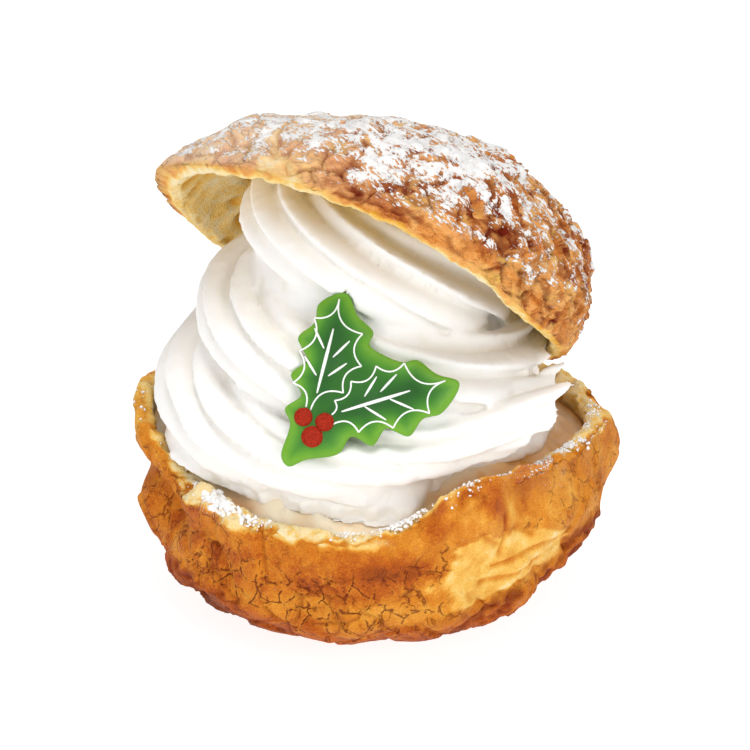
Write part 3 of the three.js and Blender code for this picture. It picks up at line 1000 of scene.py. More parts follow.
    def build(self) -> Piece:
        """The shell as rings: underside, crust, rim and inner face, each with its own relief and tints."""
        angle = full_turn(self.columns)[None, :]
        share = (np.linspace(0, 1, self.crust_rows) ** 1.15)[:, None]
        across = np.linspace(0, 1, self.rim_rows + 2)[1:-1, None]
        inner_share = (1 - (1 - self.floor / self.rim) * np.linspace(0, 1, self.inner_rows) ** 1.4)[:, None]
        crust = self.point(angle, share)
        direction = unit(crust - [0, 0, self.belly])
        lift = self.relief.height(direction) * smoothstep(share, 0, 0.2)
        crust = crust + direction * [1, 1, 0] * lift[..., None]
        rim = self.rim_point(angle + 0 * across, across + 0 * angle)
        inner = self.point(angle, inner_share, self.thickness(inner_share))
        under = crust[:1] * np.linspace(0.15, 0.9, self.underside_rows)[:, None, None]
        rings = np.concatenate([under, crust, rim, inner])
        rows = np.cumsum([self.underside_rows, self.crust_rows, self.rim_rows])
        round_angle = np.broadcast_to(angle, rings.shape[:2])
        near_rim = smoothstep(rings[..., 2] - self.rim_height(round_angle), -5, 0)
        rings[..., 2] += near_rim * (0.9 * self.ragged.at(rings) + 0.5 * self.ragged_fine.at(rings))
        fine, tints = self.surface(rings, round_angle, rows)
        rings = rings + ring_normals(rings) * fine[..., None]
        rings[..., 2] = np.maximum(rings[..., 2], 0)
        return skin_object("choux_base", rings, tints)

    def surface(self, rings: Array, angle: Array, rows: Array) -> tuple[Array, Tints]:
        """Fine relief and tints of every ring.

        Args:
            rings: the shell's points.
            angle: angle round the puff of each point.
            rows: first rows of the crust, of the rim and of the inner face.

        Returns:
            Height of the relief in millimetres, and the painted values.
        """
        under, rim_row, inner_row = rows
        row = np.arange(len(rings))[:, None] + 0 * angle
        height = rings[..., 2]
        below_top = height - self.rim_height(angle)
        drift = self.drift.at(rings)
        rough = self.rough.at(rings)
        is_crust = row < rim_row
        is_inner = row >= inner_row
        across = np.clip((row - rim_row + 1) / (self.rim_rows + 1), 0, 1)

        # Where the dough stretched pale at the front right, with glossy amber above it, and the craggy edges.
        degrees = np.degrees(angle) % 360
        pale_top = self.pale_peak[1] - self.pale_slope * np.abs(degrees - self.pale_peak[0])
        pale = self.pale_patch.near(angle) * band(height + 1.2 * drift, self.pale_foot, pale_top, 1.5)
        pale = smoothstep(pale + 0.16 * rough, 0.3, 0.5)
        amber = self.amber_patch.near(angle) * smoothstep(below_top + 1.5 * rough, -9.5, -6.5)
        amber = smoothstep(amber + 0.1 * rough, 0.3, 0.6)
        crag = np.clip(sum(patch.share(angle, height) for patch in self.crags), 0, 1)
        smooth_top = self.smooth_front.near(angle) * smoothstep(below_top, -7, -4)
        calm = np.clip(1 - pale - amber - 0.9 * smooth_top, 0, 1)

        # The crust's relief: plates at uneven heights, cracks between them, crags with pits, and folds.
        wide, owner, _ = self.plates.lines(rings)
        wide = wide * smoothstep(self.cracked.at(rings), -0.2, 0.4) * calm
        pits = self.pits.at(rings)
        ridged = 1 - np.abs(rough)
        relief = 0.22 * (owner - 0.5) * calm + 0.1 * rough - self.plates.depth * wide
        relief += crag * (1.1 + 1.0 * (ridged - 0.75) + 0.7 * self.craggy.at(rings) - 0.7 * pits)
        crease = self.creases(degrees, height)
        relief -= 0.5 * crease
        relief *= smoothstep(height, 0.2, 2.5)

        # How far it is baked: browner towards the bottom and at the front, paler where it stretched.
        bake = 0.55 + 0.06 * drift + 0.14 * (owner - 0.5) * calm
        # Darker on the left: partly a browner bake, partly painted shade on the side away from the key light.
        bake += 0.1 * self.left_bake_and_shade.near(angle) + 0.05 * self.brown_right.near(angle)
        bake += 0.15 * self.brown_front.share(angle, height)
        bake += 0.26 * (1 - smoothstep(height, 6, 17)) + 0.1 * crag
        smudge_middle, smudge_reach = self.smudge
        smudge = np.linalg.norm((rings - smudge_middle) / smudge_reach, axis=-1)
        bake += 0.2 * np.exp(-(smudge**2))
        streaks = self.streaked.at(rings * self.streak_draw)
        bake += pale * (0.2 + 0.14 * streaks + 0.3 * crease - bake)
        bake += amber * (0.52 + 0.2 * streaks + 0.25 * crease - bake)
        bake += 0.14 * self.brown_rim.near(angle) * smoothstep(below_top, -6, -2)
        bake += 0.06 * self.brown_lip.share(angle, height)
        bake -= 0.28 * self.pale_lip.near(angle) * smoothstep(below_top, -7, -2)
        # Painted shade: darker in the crags' pits and low places, along with the dark of the wide cracks.
        dark = np.clip(0.45 * wide + crag * (0.75 * pits + 0.8 * smoothstep(-rough, 0.1, 0.5)), 0, 1)
        crack = calm * (1 - crag) * (0.5 + 0.5 * self.cracked_front.near(angle))

        # The torn rim and the inner face: open crumb with bubbles, browned at the lip and the front right.
        holes = self.holes.at(rings)
        small_holes = self.small_holes.at(rings)
        front, lip = (place.near(angle) for place in self.browned_crumb)
        browned = np.clip(1.1 * front + 0.7 * lip, 0, 1)
        edge_crumb = smoothstep(below_top + 0.8 * rough, -0.9, 0.3) * (1 - smoothstep(browned, 0.1, 0.4))
        rim_crumb = smoothstep(across + 0.3 * rough - 0.8 * browned, -0.05, 0.25)
        crumb = np.where(is_crust, edge_crumb, np.where(is_inner, 1, rim_crumb))
        torn_relief = 0.5 * rough - 0.5 * small_holes
        inner_relief = np.where(is_inner, -1.5 * holes - 0.4 * small_holes + 0.3 * rough, torn_relief)
        relief = np.where(is_crust, relief, inner_relief)
        crumb_bake = 0.16 + 0.3 * small_holes + 0.12 * drift + 0.2 * browned
        # Painted light: the rim's crumb is made paler at the left, where the cream casts its shadow on it.
        crumb_bake -= 0.12 * self.painted_light_crumb.near(angle)
        golden = self.golden_wall.near(angle)
        crumb_bake = np.where(is_inner, 0.04 + 0.26 * golden + 0.5 * holes + 0.06 * drift, crumb_bake)
        bake = bake + (crumb_bake - bake) * np.where(is_crust, edge_crumb, np.maximum(rim_crumb, is_inner))
        sugar = self.dusting(rings, angle, below_top) * (row >= under) * ~is_inner
        return relief, {
            Tint.BAKE: bake,
            Tint.CRACK: crack * is_crust,
            Tint.DARK: dark * is_crust,
            Tint.GLOSS: 0.8 * amber * is_crust + 0.3 * pale * is_crust,
            Tint.CRUMB: crumb,
            Tint.SUGAR: sugar,
            Tint.HAZE: 0.15 * sugar,
        }

    def creases(self, degrees: Array, height: Array) -> Array:
        """Folds of the stretched dough at the front right: bell curves about lines of angle and height."""
        flat = stack(np.radians(degrees) * self.radius, height)
        total = np.zeros(height.shape)
        for line in self.folds:
            ends = np.array(line) * [math.radians(self.radius), 1]
            for start, end in zip(ends[:-1], ends[1:]):
                away = segment_distance(flat, start, end)
                total = np.maximum(total, np.exp(-((away / self.fold_width) ** 2)))
        return total

    def dusting(self, rings: Array, angle: Array, below_top: Array) -> Array:
        """Sugar on and just outside the rim: dense at the left cluster and along the right, in patches."""
        patches = smoothstep(self.sugar_patches.at(rings), -0.15, 0.35)
        outside = smoothstep(below_top, -5, -1.5)
        on_rim = smoothstep(below_top, -0.8, 0.4)
        amount = 0.3 * self.sugar_left.near(angle) * smoothstep(below_top, -2.5, 0)
        amount += 0.3 * self.sugar_outside.near(angle) * outside * patches
        amount += 0.3 * self.sugar_right.near(angle) * on_rim * patches
        amount += 0.25 * self.sugar_front.near(angle) * on_rim * patches
        return np.clip(amount, 0, self.sugar_limit)


# Choux cap


@dataclass(frozen=True)
class Pit:
    """A burst bubble in the crust: its middle, half sizes and depth in millimetres, and its own bake."""

    middle: Triple
    reach: Triple
    depth: float
    bake: float

    def share(self, points: Array, ragged: Array) -> Array:
        """1 inside the bubble, falling to 0 at its ragged edge."""
        away = np.linalg.norm((points - self.middle) / self.reach, axis=-1)
        return 1 - smoothstep(away + 0.35 * ragged, 0.7, 1.1)


@dataclass
class ChouxCap(OwnFrame):
    """The hollow lid, a skewed dome that leans back and to the right on the cream."""

    radius: float = 40.6
    height: float = 25.8
    wall: float = 3.2
    left_end: Feature = Feature(180, 40, 1.8)
    right_end: Feature = Feature(0, 45, -2.2)
    low_side: Feature = Feature(322, 32, 0.0, -3.0)
    skew: float = 0.36
    rim_rounding: float = 0.8
    centre: Triple = (-1.3, 4.0, 62.0)
    axis: Triple = (0.372, 0.6257, 0.6837)
    right: Triple = (0.924, -0.19, -0.329)
    # The grid
    columns: int = 620
    inner_rows: int = 40
    rim_rows: int = 10
    crust_rows: int = 102
    relief: CrustRelief = CrustRelief(seed=2, size=40.6)
    relief_share: float = 0.65
    plates: Crackle = Crackle(7.0, 0.42, 0.8, 2.0, 41)
    flakes: Crackle = Crackle(2.6, 0.28, 0.35, 1.2, 42)
    pits: tuple[Pit, ...] = (
        Pit((2.6, 1.0, 91.7), (2.4, 2.0, 1.6), 1.0, 0.33),
        Pit((-4.1, -9.7, 95.4), (1.5, 1.3, 1.5), 1.0, 0.9),
        Pit((17.8, -20.5, 85.6), (1.7, 1.6, 1.7), 1.1, 0.38),
        Pit((15.7, -23.9, 85.9), (1.3, 1.3, 1.8), 0.7, 0.25),
        Pit((15.8, -18.3, 88.1), (1.9, 1.4, 1.1), 0.8, 0.5),
        Pit((8.6, 2.6, 90.3), (1.4, 1.4, 1.2), 0.8, 0.7),
        Pit((-17.1, -9.0, 92.8), (1.5, 1.5, 1.2), 0.9, 0.85),
        Pit((31.6, -13.4, 75.4), (1.3, 1.6, 2.2), 1.0, 0.75),
        Pit((-14.0, 24.0, 88.0), (2.0, 2.0, 2.0), 1.0, 0.4),
        Pit((24.0, 26.0, 72.0), (2.2, 2.2, 2.2), 1.0, 0.45),
    )
    # Patterns
    flake_stretch: float = 0.5
    drift: Noise = Noise(13.0, 51)
    rough: Noise = Noise(3.2, 52, 4)
    broad: Noise = Noise(7.0, 53)
    cracked: Noise = Noise(10.0, 54)
    flaked: Noise = Noise(1.7, 55)
    sugar_patches: Noise = Noise(1.8, 71, 4)
    holes: Bubbles = Bubbles(6.5, 61)
    small_holes: Bubbles = Bubbles(1.6, 62)
    # Places with a tone or texture of their own
    smooth_right: Feature = Feature(352, 16)
    smooth_left: Feature = Feature(205, 42)
    pale_right: Feature = Feature(325, 16)
    golden_rim: Feature = Feature(303, 8)
    pale_rim: Feature = Feature(300, 18)
    # The split in the crust, in degrees
    split_angle: float = 244.0
    split_slant: float = 0.85
    split_wander: float = 4.0
    split_width: float = 5.5
    split_narrowing: float = 0.17
    split_end: Pair = (16, 26)
    # Places with more sugar, and bare ones
    sugar_left: Feature = Feature(205, 36)
    sugar_front: Feature = Feature(268, 34)
    sugar_top: Feature = Feature(262, 34)
    bare_right: Feature = Feature(345, 42)
    bare_split: Feature = Feature(247, 8)
    bare_rim: Feature = Feature(325, 28)
    sugar_limit: float = 0.95

    def frame(self) -> Array:
        """The cap's right, back and axis directions as rows."""
        return np.stack([self.right, np.cross(self.axis, self.right), self.axis])

    def rim_radius(self, angle: Array, inset: Array | float) -> Array:
        """The dome's radius at its rim, drawn in at the right, with a thicker wall at the left."""
        extra = self.left_end.out * self.left_end.near(angle) * np.sign(inset)
        return self.radius + self.right_end.out * self.right_end.near(angle) - inset - extra

    def point(self, angle: Array, rise: Array, inset: Array | float = 0.0) -> Array:
        """Half an ellipsoid, skewed to the right by its height, with its rim let down at the low side.

        Args:
            angle: angle round the cap's axis.
            rise: angle up from the rim.
            inset: distance inwards from the smooth outer face.

        Returns:
            Points in the cap's own frame.
        """
        across = self.rim_radius(angle, inset) * np.cos(rise)
        drop = self.low_side.up * self.low_side.near(angle) * (1 - np.sin(rise))
        height = (self.height - inset) * np.sin(rise) + drop
        return stack(across * np.cos(angle) + self.skew * height, across * np.sin(angle), height)

    def build(self) -> Piece:
        """The lid as rings: inner face from its top, rim, then crust up to the top, with relief and tints."""
        angle = full_turn(self.columns)[None, :]
        down = 0.5 * math.pi * (1 - np.linspace(0.02, 1, self.inner_rows) ** 0.9)[:, None]
        across = np.linspace(0, 1, self.rim_rows + 2)[1:-1, None]
        up = 0.5 * math.pi * np.linspace(0, 0.985, self.crust_rows)[:, None]
        inner = self.point(angle, down, self.wall)
        rim = self.point(angle, 0 * across, self.wall * (1 - across) + 1e-6)
        rim[..., 2] -= self.rim_rounding * np.sin(math.pi * across)
        crust = self.point(angle, up)
        direction = unit(crust)
        crust = crust + direction * self.relief_share * self.relief.height(direction)[..., None]
        rings = self.to_world(np.concatenate([inner, rim, crust]))
        rise = np.concatenate([down, 0 * across, up]) + 0 * angle
        rows = np.cumsum([self.inner_rows, self.rim_rows])
        fine, tints = self.surface(rings, np.broadcast_to(angle, rings.shape[:2]), rise, rows)
        return skin_object("choux_cap", rings + ring_normals(rings) * fine[..., None], tints)

    def surface(
        self, rings: Array, angle: Array, rise: Array, rows: Array
    ) -> tuple[Array, Tints]:
        """Fine relief and tints of every ring.

        Args:
            rings: the lid's points.
            angle: angle round the cap's axis of each point.
            rise: angle up from the rim of each point.
            rows: first rows of the rim and of the crust.

        Returns:
            Height of the relief in millimetres, and the painted values.
        """
        rim_row, crust_row = rows
        row = np.arange(len(rings))[:, None] + 0 * angle
        degrees = np.degrees(rise)
        is_crust = row >= crust_row
        is_inner = row < rim_row
        across = np.clip((row - rim_row + 1) / (self.rim_rows + 1), 0, 1)
        drift = self.drift.at(rings)
        rough = self.rough.at(rings)
        broad = self.broad.at(rings)

        # Smooth plates at the left, flaky crags over the rest, smooth dough at the right end.
        smooth_end = self.smooth_right.near(angle) * (1 - smoothstep(degrees, 5, 14))
        left = self.smooth_left.near(angle)
        flaky = np.clip(1 - 1.15 * left - 0.8 * smooth_end + 0.2 * drift, 0.05, 1)
        wide, owner, _ = self.plates.lines(rings)
        drawn = rings - self.flake_stretch * (rings @ FLAKE_AXIS)[..., None] * FLAKE_AXIS
        narrow, flake, lean = self.flakes.lines(drawn)
        fine = self.flaked.at(drawn)
        wide = wide * smoothstep(self.cracked.at(rings), -0.45, 0.2)
        narrow = narrow * smoothstep(broad, -0.3, 0.35) * flaky
        ridged = 1 - np.abs(broad)
        relief = 0.2 * (owner - 0.5) + 0.1 * rough - self.plates.depth * wide
        relief += flaky * (0.4 * (flake - 0.5) + 0.4 * lean + 0.12 * (ridged - 0.7) + 0.3 * fine)
        relief -= self.flakes.depth * narrow
        fissure = self.fissure(angle, degrees, rough)
        relief -= 1.3 * fissure
        relief *= smoothstep(degrees, -1, 4)

        # How far it is baked: flakes of uneven tone, paler plates at the left, and the burst bubbles' own.
        bake = 0.42 + 0.06 * drift + flaky * (0.14 + 0.36 * (flake - 0.5)) - 0.12 * left
        bake += 0.06 * band(degrees, 1, 6, 2) - 0.02 * smooth_end
        bake -= 0.1 * self.pale_right.near(angle) * (1 - smoothstep(degrees, 10, 20))
        golden = self.golden_rim.near(angle) * (1 - smoothstep(degrees + 2 * rough, 2, 5))
        bake += golden * (0.26 - bake)
        open_pit = np.zeros_like(bake)
        for pit in self.pits:
            share = pit.share(rings, rough)
            relief -= pit.depth * share
            bake += share * (pit.bake - bake)
            open_pit = np.maximum(open_pit, share)
        # Painted shade: the hollows between the flakes are darkened, along with the dark of the cracks.
        hollows = smoothstep(-fine, 0.22, 0.6)
        dark = np.clip((0.35 + 0.5 * flaky) * wide + 0.45 * narrow + 0.65 * flaky * hollows, 0, 1)
        dark *= (1 - open_pit) * (1 - fissure)
        crack = (0.6 - 0.25 * flaky) * (1 - fissure) * (1 - open_pit)

        # The torn rim and the inner face: pale crumb with a golden-brown outer edge.
        holes = self.holes.at(rings)
        small_holes = self.small_holes.at(rings)
        rim_crumb = 1 - smoothstep(across + 0.25 * rough, 0.7, 0.98)
        crumb = np.where(is_crust, 0.85 * smoothstep(fissure, 0.15, 0.5), np.where(is_inner, 1, rim_crumb))
        inner_relief = np.where(is_inner, -1.2 * holes - 0.3 * small_holes, -0.4 * small_holes) + 0.35 * rough
        relief = np.where(is_crust, relief, inner_relief)
        rim_bake = 0.02 + 0.15 * small_holes + 0.4 * across**4 + 0.24 * (1 - left)
        rim_bake -= 0.2 * self.pale_rim.near(angle)
        crumb_bake = np.where(is_inner, 0.2 + 0.3 * holes, rim_bake) + 0.08 * drift
        crumb_bake = np.where(is_crust, 0.32 + 0.3 * rough, crumb_bake)
        bake = bake + (crumb_bake - bake) * crumb
        sugar = self.dusting(drawn, angle, degrees, relief) * is_crust
        sugar *= (1 - 0.6 * dark) * (1 - 0.9 * open_pit) * (1 - 0.8 * crumb) * (1 - 0.7 * golden)
        haze = 0.06 * sugar + 0.45 * left * smoothstep(degrees, -1, 3)
        return relief, {
            Tint.BAKE: bake,
            Tint.CRACK: crack * is_crust,
            Tint.DARK: dark * is_crust,
            Tint.GLOSS: 0.5 * open_pit * is_crust,
            Tint.CRUMB: crumb,
            Tint.SUGAR: sugar,
            Tint.HAZE: haze * (1 - dark) * is_crust,
        }

    def fissure(self, angle: Array, degrees: Array, rough: Array) -> Array:
        """A split in the front left crust that narrows up from the rim, with ragged sides."""
        middle = self.split_angle - self.split_slant * degrees + self.split_wander * rough
        width = self.split_width - self.split_narrowing * degrees
        away = (np.degrees(angle) - middle) / np.maximum(width, 0.5)
        return np.exp(-(away**2)) * (1 - smoothstep(degrees, *self.split_end))

    def dusting(self, drawn: Array, angle: Array, degrees: Array, relief: Array) -> Array:
        """Sieved sugar: heavy over the front and the top, lighter at the right, none just above the rim.

        It lies on plates and flakes that stand high and leaves the hollows between them bare.
        """
        amount = 0.35 + 0.1 * self.sugar_left.near(angle)
        amount += 0.16 * self.sugar_front.near(angle) * smoothstep(degrees, 5, 12)
        amount += 0.12 * smoothstep(degrees, 10, 24)
        amount += 0.16 * self.sugar_top.near(angle) * smoothstep(degrees, 14, 24)
        amount -= 0.22 * self.bare_right.near(angle)
        amount -= 0.35 * self.bare_split.near(angle) * (1 - smoothstep(degrees, 12, 20))
        amount += 0.45 * self.sugar_patches.at(drawn) + 0.25 * np.clip(relief, -1, 1)
        above_rim = smoothstep(degrees, 2.5, 6 + 6 * self.bare_rim.near(angle))
        return np.clip(amount * above_rim, 0, self.sugar_limit)


# Custard


@dataclass
class CustardFilling:
    """Custard that fills the bowl and domes up under the cream."""

    base: ChouxBase
    gap: float = 0.35
    edge: float = 26.4
    crown: float = 5.0
    dome_power: float = 4.0
    fuller_front: Feature = Feature(250, 55, 0.0, 9.0)
    columns: int = 320
    side_rows: int = 12
    top_rows: int = 70
    soft: Noise = Noise(6.0, 81)
    ripple: Noise = Noise(2.2, 82)
    beads: Bubbles = Bubbles(3.4, 83)
    amber_right: Feature = Feature(327, 46)
    amber_left: Feature = Feature(222, 9)

    def top(self, part: Array, angle: Array) -> Array:
        """Height of the domed top at a share of its radius: it falls as a power, which is higher in front."""
        power = self.dome_power + self.fuller_front.up * self.fuller_front.near(angle)
        return self.edge + self.crown * (1 - part**power)

    def build(self) -> Piece:
        """Sides that follow the bowl, then the domed top with soft lumps."""
        angle = full_turn(self.columns)[None, :]
        floor = self.base.floor + self.gap
        share = np.linspace(floor, self.edge, self.side_rows)[:, None] / self.base.rim
        sides = self.base.point(angle, share, self.base.thickness(share) + 2 * self.gap)
        part = np.linspace(1, 0.02, self.top_rows)[1:, None]
        edge = sides[-1][None]
        dome = stack(edge[..., 0] * part, edge[..., 1] * part, self.top(part, angle))
        soft, ripple = self.soft.at(dome), self.ripple.at(dome)
        dome[..., 2] += (0.8 * soft + 0.35 * ripple) * smoothstep(1 - part, 0, 0.08)
        amber = self.amber_right.near(angle) * smoothstep(part, 0.6, 0.75)
        amber = amber * (0.7 + 0.3 * smoothstep(self.beads.at(dome), 0.05, 0.35))
        amber = np.maximum(amber, 0.7 * self.amber_left.near(angle) * smoothstep(part, 0.86, 0.95))
        # Painted shade: the dips between the soft lumps are warmed a little towards the crease colour.
        top_crease = np.maximum(amber, 0.25 * smoothstep(-soft, 0, 0.9))
        crease = np.concatenate([np.full(sides.shape[:2], 0.8), top_crease])
        return skin_object("custard", np.concatenate([sides, dome]), {Tint.CREASE: crease})


# Holly decoration


@dataclass(frozen=True)
class HollyLeaf:
    """One leaf: its root and tip on the plate's outline, the corners beside the other leaf, and its drawing.

    The drawing is white: spines joined by hollow arcs from one side of the stalk round the tip to the other,
    a midrib and side veins, each from its start to its end.
    """

    root: Pair
    tip: Pair
    inner: tuple[Pair, ...]
    spines: tuple[Pair, ...]
    midrib: tuple[Pair, Pair]
    veins: tuple[tuple[Pair, Pair], ...]

    def place(self, along: float, reach: float) -> Array:
        """The point at a place along the leaf and a reach to its left."""
        root = np.array(self.root)
        ahead = unit(np.array(self.tip) - root)
        return root + along * ahead + reach * np.array([-ahead[1], ahead[0]])


UPRIGHT_LEAF = HollyLeaf(
    root=(-2.9, -2.9),
    tip=(2.3, 18.6),
    inner=((14.4, 6.0), (16.6, 6.1), (18.8, 2.8)),
    spines=(
        (-4.6, -1.0), (-6.8, 3.1), (-5.7, 8.6), (-3.2, 14.3), (1.1, 17.5),
        (5.1, 11.5), (4.9, 6.0), (1.8, 1.4), (-3.8, -1.5),
    ),
    midrib=((-2.7, 1.4), (0.1, 12.4)),
    veins=(
        ((-1.5, 9.0), (-3.1, 12.5)), ((-2.8, 4.4), (-4.8, 7.7)),
        ((0.0, 7.5), (2.9, 10.3)), ((-0.8, 4.3), (2.4, 6.5)),
    ),
)
LEVEL_LEAF = HollyLeaf(
    root=(-1.0, -3.8),
    tip=(21.6, 3.2),
    inner=((12.9, 8.2), (15.6, 6.2), (17.9, 5.9), (20.4, 2.6)),
    spines=(
        (-0.2, -2.3), (0.3, 0.1), (3.1, 3.4), (7.4, 6.0), (12.2, 6.5), (19.2, 3.5),
        (16.5, -2.1), (10.3, -4.6), (4.4, -5.3), (0.1, -3.9),
    ),
    midrib=((1.5, -1.8), (13.2, 1.8)),
    veins=(
        ((5.4, 0.8), (7.5, 4.2)), ((8.1, 1.6), (10.9, 4.6)),
        ((5.4, -0.9), (9.1, -3.2)), ((9.7, 0.4), (13.8, -1.4)),
    ),
)


@dataclass
class HollyDecoration(OwnFrame):
    """A thin wavy plate cut round two leaves and their stalk, with piped lines and three berries."""

    centre: Triple = (-7.2, -27.4, 52.6)
    lean: float = math.radians(34)
    thickness: float = 1.6
    wave_height: float = 0.3
    wave_length: float = 13.0
    notch: float = 2.1
    lobes: tuple[Pair, ...] = ((0.4, 5.5), (6.3, 5.9), (12.7, 6.2), (19.2, 4.1))
    stalk: tuple[Pair, ...] = ((-7.3, -3.8), (-8.8, -9.4), (-7.6, -11.1), (-4.6, -10.0))
    berries: tuple[Triple, ...] = ((-5.0, -2.7, 1.6), (-1.4, -3.6, 1.6), (-3.5, -6.1, 1.9))
    berry_flatness: float = 0.5
    columns: int = 360
    rows: int = 34
    line_width: float = 0.3
    rib_width: float = 0.6
    vein_width: float = 0.44
    line_height: float = 0.16
    arc_depth: float = 0.5
    curve_steps: int = 24
    stroke_steps: int = 15
    stroke_sides: int = 8
    edge_roundness: float = 18.0
    margin_reach: float = 4.5
    rib_shade_reach: float = 2.2
    berry_sides: int = 40
    berry_rows: int = 26
    berry_grain: float = 0.8
    berry_seed: int = 91

    def frame(self) -> Array:
        """The plate's right, up its face and out of its face as rows."""
        up = [0, math.sin(self.lean), math.cos(self.lean)]
        out = [0, -math.cos(self.lean), math.sin(self.lean)]
        return np.array([[1, 0, 0], up, out])

    def wave(self, flat: Array) -> Array:
        """The plate's waviness: a sine across times a cosine along."""
        turn = 2 * math.pi / self.wave_length
        return self.wave_height * np.sin(turn * flat[..., 0]) * np.cos(turn * flat[..., 1])

    def outer_edge(self, leaf: HollyLeaf, side: int) -> list[Array]:
        """Lobe tips with a notch between each two, along a leaf's free side."""
        corners = []
        for i, (along, reach) in enumerate(self.lobes):
            corners.append(leaf.place(along, side * reach))
            if i + 1 < len(self.lobes):
                between = (along + self.lobes[i + 1][0]) / 2
                corners.append(leaf.place(between, side * (reach - self.notch)))
        return corners

    def outline(self) -> Array:
        """A closed centripetal Catmull-Rom curve through lobes, tips and stalk, in even steps."""
        level_inner = [LEVEL_LEAF.place(a, r) for a, r in LEVEL_LEAF.inner]
        upright_inner = [UPRIGHT_LEAF.place(a, -r) for a, r in UPRIGHT_LEAF.inner]
        corners = np.array([
            *self.stalk,
            *self.outer_edge(LEVEL_LEAF, -1),
            LEVEL_LEAF.tip,
            *level_inner[::-1],
            *upright_inner,
            UPRIGHT_LEAF.tip,
            *self.outer_edge(UPRIGHT_LEAF, 1)[::-1],
        ])
        before, after, later = (np.roll(corners, shift, axis=0) for shift in (1, -1, -2))
        back, here, on = (
            np.sqrt(np.linalg.norm(b - a, axis=1))[:, None]
            for a, b in ((before, corners), (corners, after), (after, later))
        )
        ahead = (after - corners) / here
        start = (corners - before) / back - (after - before) / (back + here) + ahead
        end = ahead - (later - corners) / (here + on) + (later - after) / on
        start, end = start * here, end * here
        t = np.linspace(0, 1, self.curve_steps, endpoint=False)[:, None, None]
        curve = (
            (2 * t**3 - 3 * t**2 + 1) * corners + (t**3 - 2 * t**2 + t) * start
            + (-2 * t**3 + 3 * t**2) * after + (t**3 - t**2) * end
        )
        loop = curve.transpose(1, 0, 2).reshape(-1, 2)
        steps = np.linalg.norm(np.diff(loop, axis=0, append=loop[:1]), axis=1)
        travelled = np.concatenate([[0], np.cumsum(steps)])
        wanted = np.linspace(0, travelled[-1], self.columns, endpoint=False)
        closed = np.concatenate([loop, loop[:1]])
        return stack(np.interp(wanted, travelled, closed[:, 0]), np.interp(wanted, travelled, closed[:, 1]))

    def covers(self, flat: Array, margin: float) -> Array:
        """Tells which points lie inside the outline grown by a margin.

        A point is inside if a line from it to the right crosses the outline an odd number of times.
        """
        edge = self.outline()
        inside = np.zeros(len(flat), bool)
        low, high = edge.min(axis=0) - margin, edge.max(axis=0) + margin
        near = np.flatnonzero(((flat > low) & (flat < high)).all(axis=1))
        x, y = flat[near].T[..., None]
        a, b = edge.T[..., None, :], np.roll(edge, -1, axis=0).T[..., None, :]
        spans = (a[1] > y) != (b[1] > y)
        cross = a[0] + (y - a[1]) * (b[0] - a[0]) / np.where(spans, b[1] - a[1], 1)
        within = (spans & (x < cross)).sum(axis=1) % 2 == 1
        close = np.hypot(a[0] - x, a[1] - y).min(axis=1) < margin
        inside[near] = within | close
        return inside

    def build_plate(self) -> Piece:
        """Rings of the outline shrunk to its middle, on the back and then the face, with a rounded edge."""
        edge = self.outline()
        half = self.thickness / 2
        part = 1 - (1 - np.linspace(0.02, 1, self.rows)) ** 1.6
        bulge = half * np.sqrt(np.clip(1 - part**self.edge_roundness, 0, 1))
        parts = np.concatenate([part, part[-2::-1]])[:, None]
        depths = np.concatenate([-bulge, bulge[-2::-1]])[:, None]
        flat = edge[None] * parts[..., None]
        rings = stack(flat[..., 0], flat[..., 1], depths + self.wave(flat))
        inside = np.linalg.norm(flat[:, :, None, :] - edge[None, None, ::2, :], axis=-1).min(axis=-1)
        rib = np.minimum(*(segment_distance(flat, *leaf.midrib) for leaf in (UPRIGHT_LEAF, LEVEL_LEAF)))
        depth = 0.75 * smoothstep(inside, 0, self.margin_reach)
        depth += 0.3 * np.exp(-((rib / self.rib_shade_reach) ** 2))
        return skin_object("holly_plate", self.to_world(rings)[::-1], {Tint.DEPTH: depth[::-1]})

    def stroke(self, path: Array, width: Array) -> Skin:
        """A piped line: a flattened round section carried along a path on the face, thin at its ends.

        Args:
            path: flat points along the line.
            width: full width at each point.

        Returns:
            Points in the puff's frame, and faces.
        """
        ahead = unit(np.gradient(path, axis=0))
        side = stack(-ahead[:, 1], ahead[:, 0])
        turn = full_turn(self.stroke_sides)
        flat = path[:, None] + side[:, None] * (0.5 * width[:, None] * np.cos(turn))[..., None]
        lift = self.thickness / 2 + self.wave(flat) + self.line_height * np.sin(turn)
        return closed_skin(self.to_world(stack(flat[..., 0], flat[..., 1], lift)))

    def leaf_strokes(self, leaf: HollyLeaf) -> list[Skin]:
        """Hollow arcs between the spines, quadratic curves bent towards the midrib, then midrib and veins."""
        t = np.linspace(0, 1, self.stroke_steps)[:, None]
        thin = np.sqrt(np.sin(math.pi * np.linspace(0.06, 0.94, self.stroke_steps)))
        middle = np.mean(leaf.midrib, axis=0)
        strokes = []
        for start, end in zip(np.array(leaf.spines[:-1]), np.array(leaf.spines[1:])):
            chord = end - start
            across = np.array([-chord[1], chord[0]])
            across = across if across @ (middle - start) > 0 else -across
            bend = (start + end) / 2 + self.arc_depth * across
            path = (1 - t) ** 2 * start + 2 * t * (1 - t) * bend + t**2 * end
            strokes.append(self.stroke(path, np.full(self.stroke_steps, self.line_width)))
        for lines, width in (((leaf.midrib,), self.rib_width), (leaf.veins, self.vein_width)):
            for start, end in lines:
                path = (1 - t) * np.array(start) + t * np.array(end)
                strokes.append(self.stroke(path, width * thin))
        return strokes

    def build_lines(self) -> Piece:
        """All piped lines of both leaves as one piece."""
        strokes = self.leaf_strokes(UPRIGHT_LEAF) + self.leaf_strokes(LEVEL_LEAF)
        points, faces = joined(strokes)
        return mesh_object("holly_lines", points, faces, {})

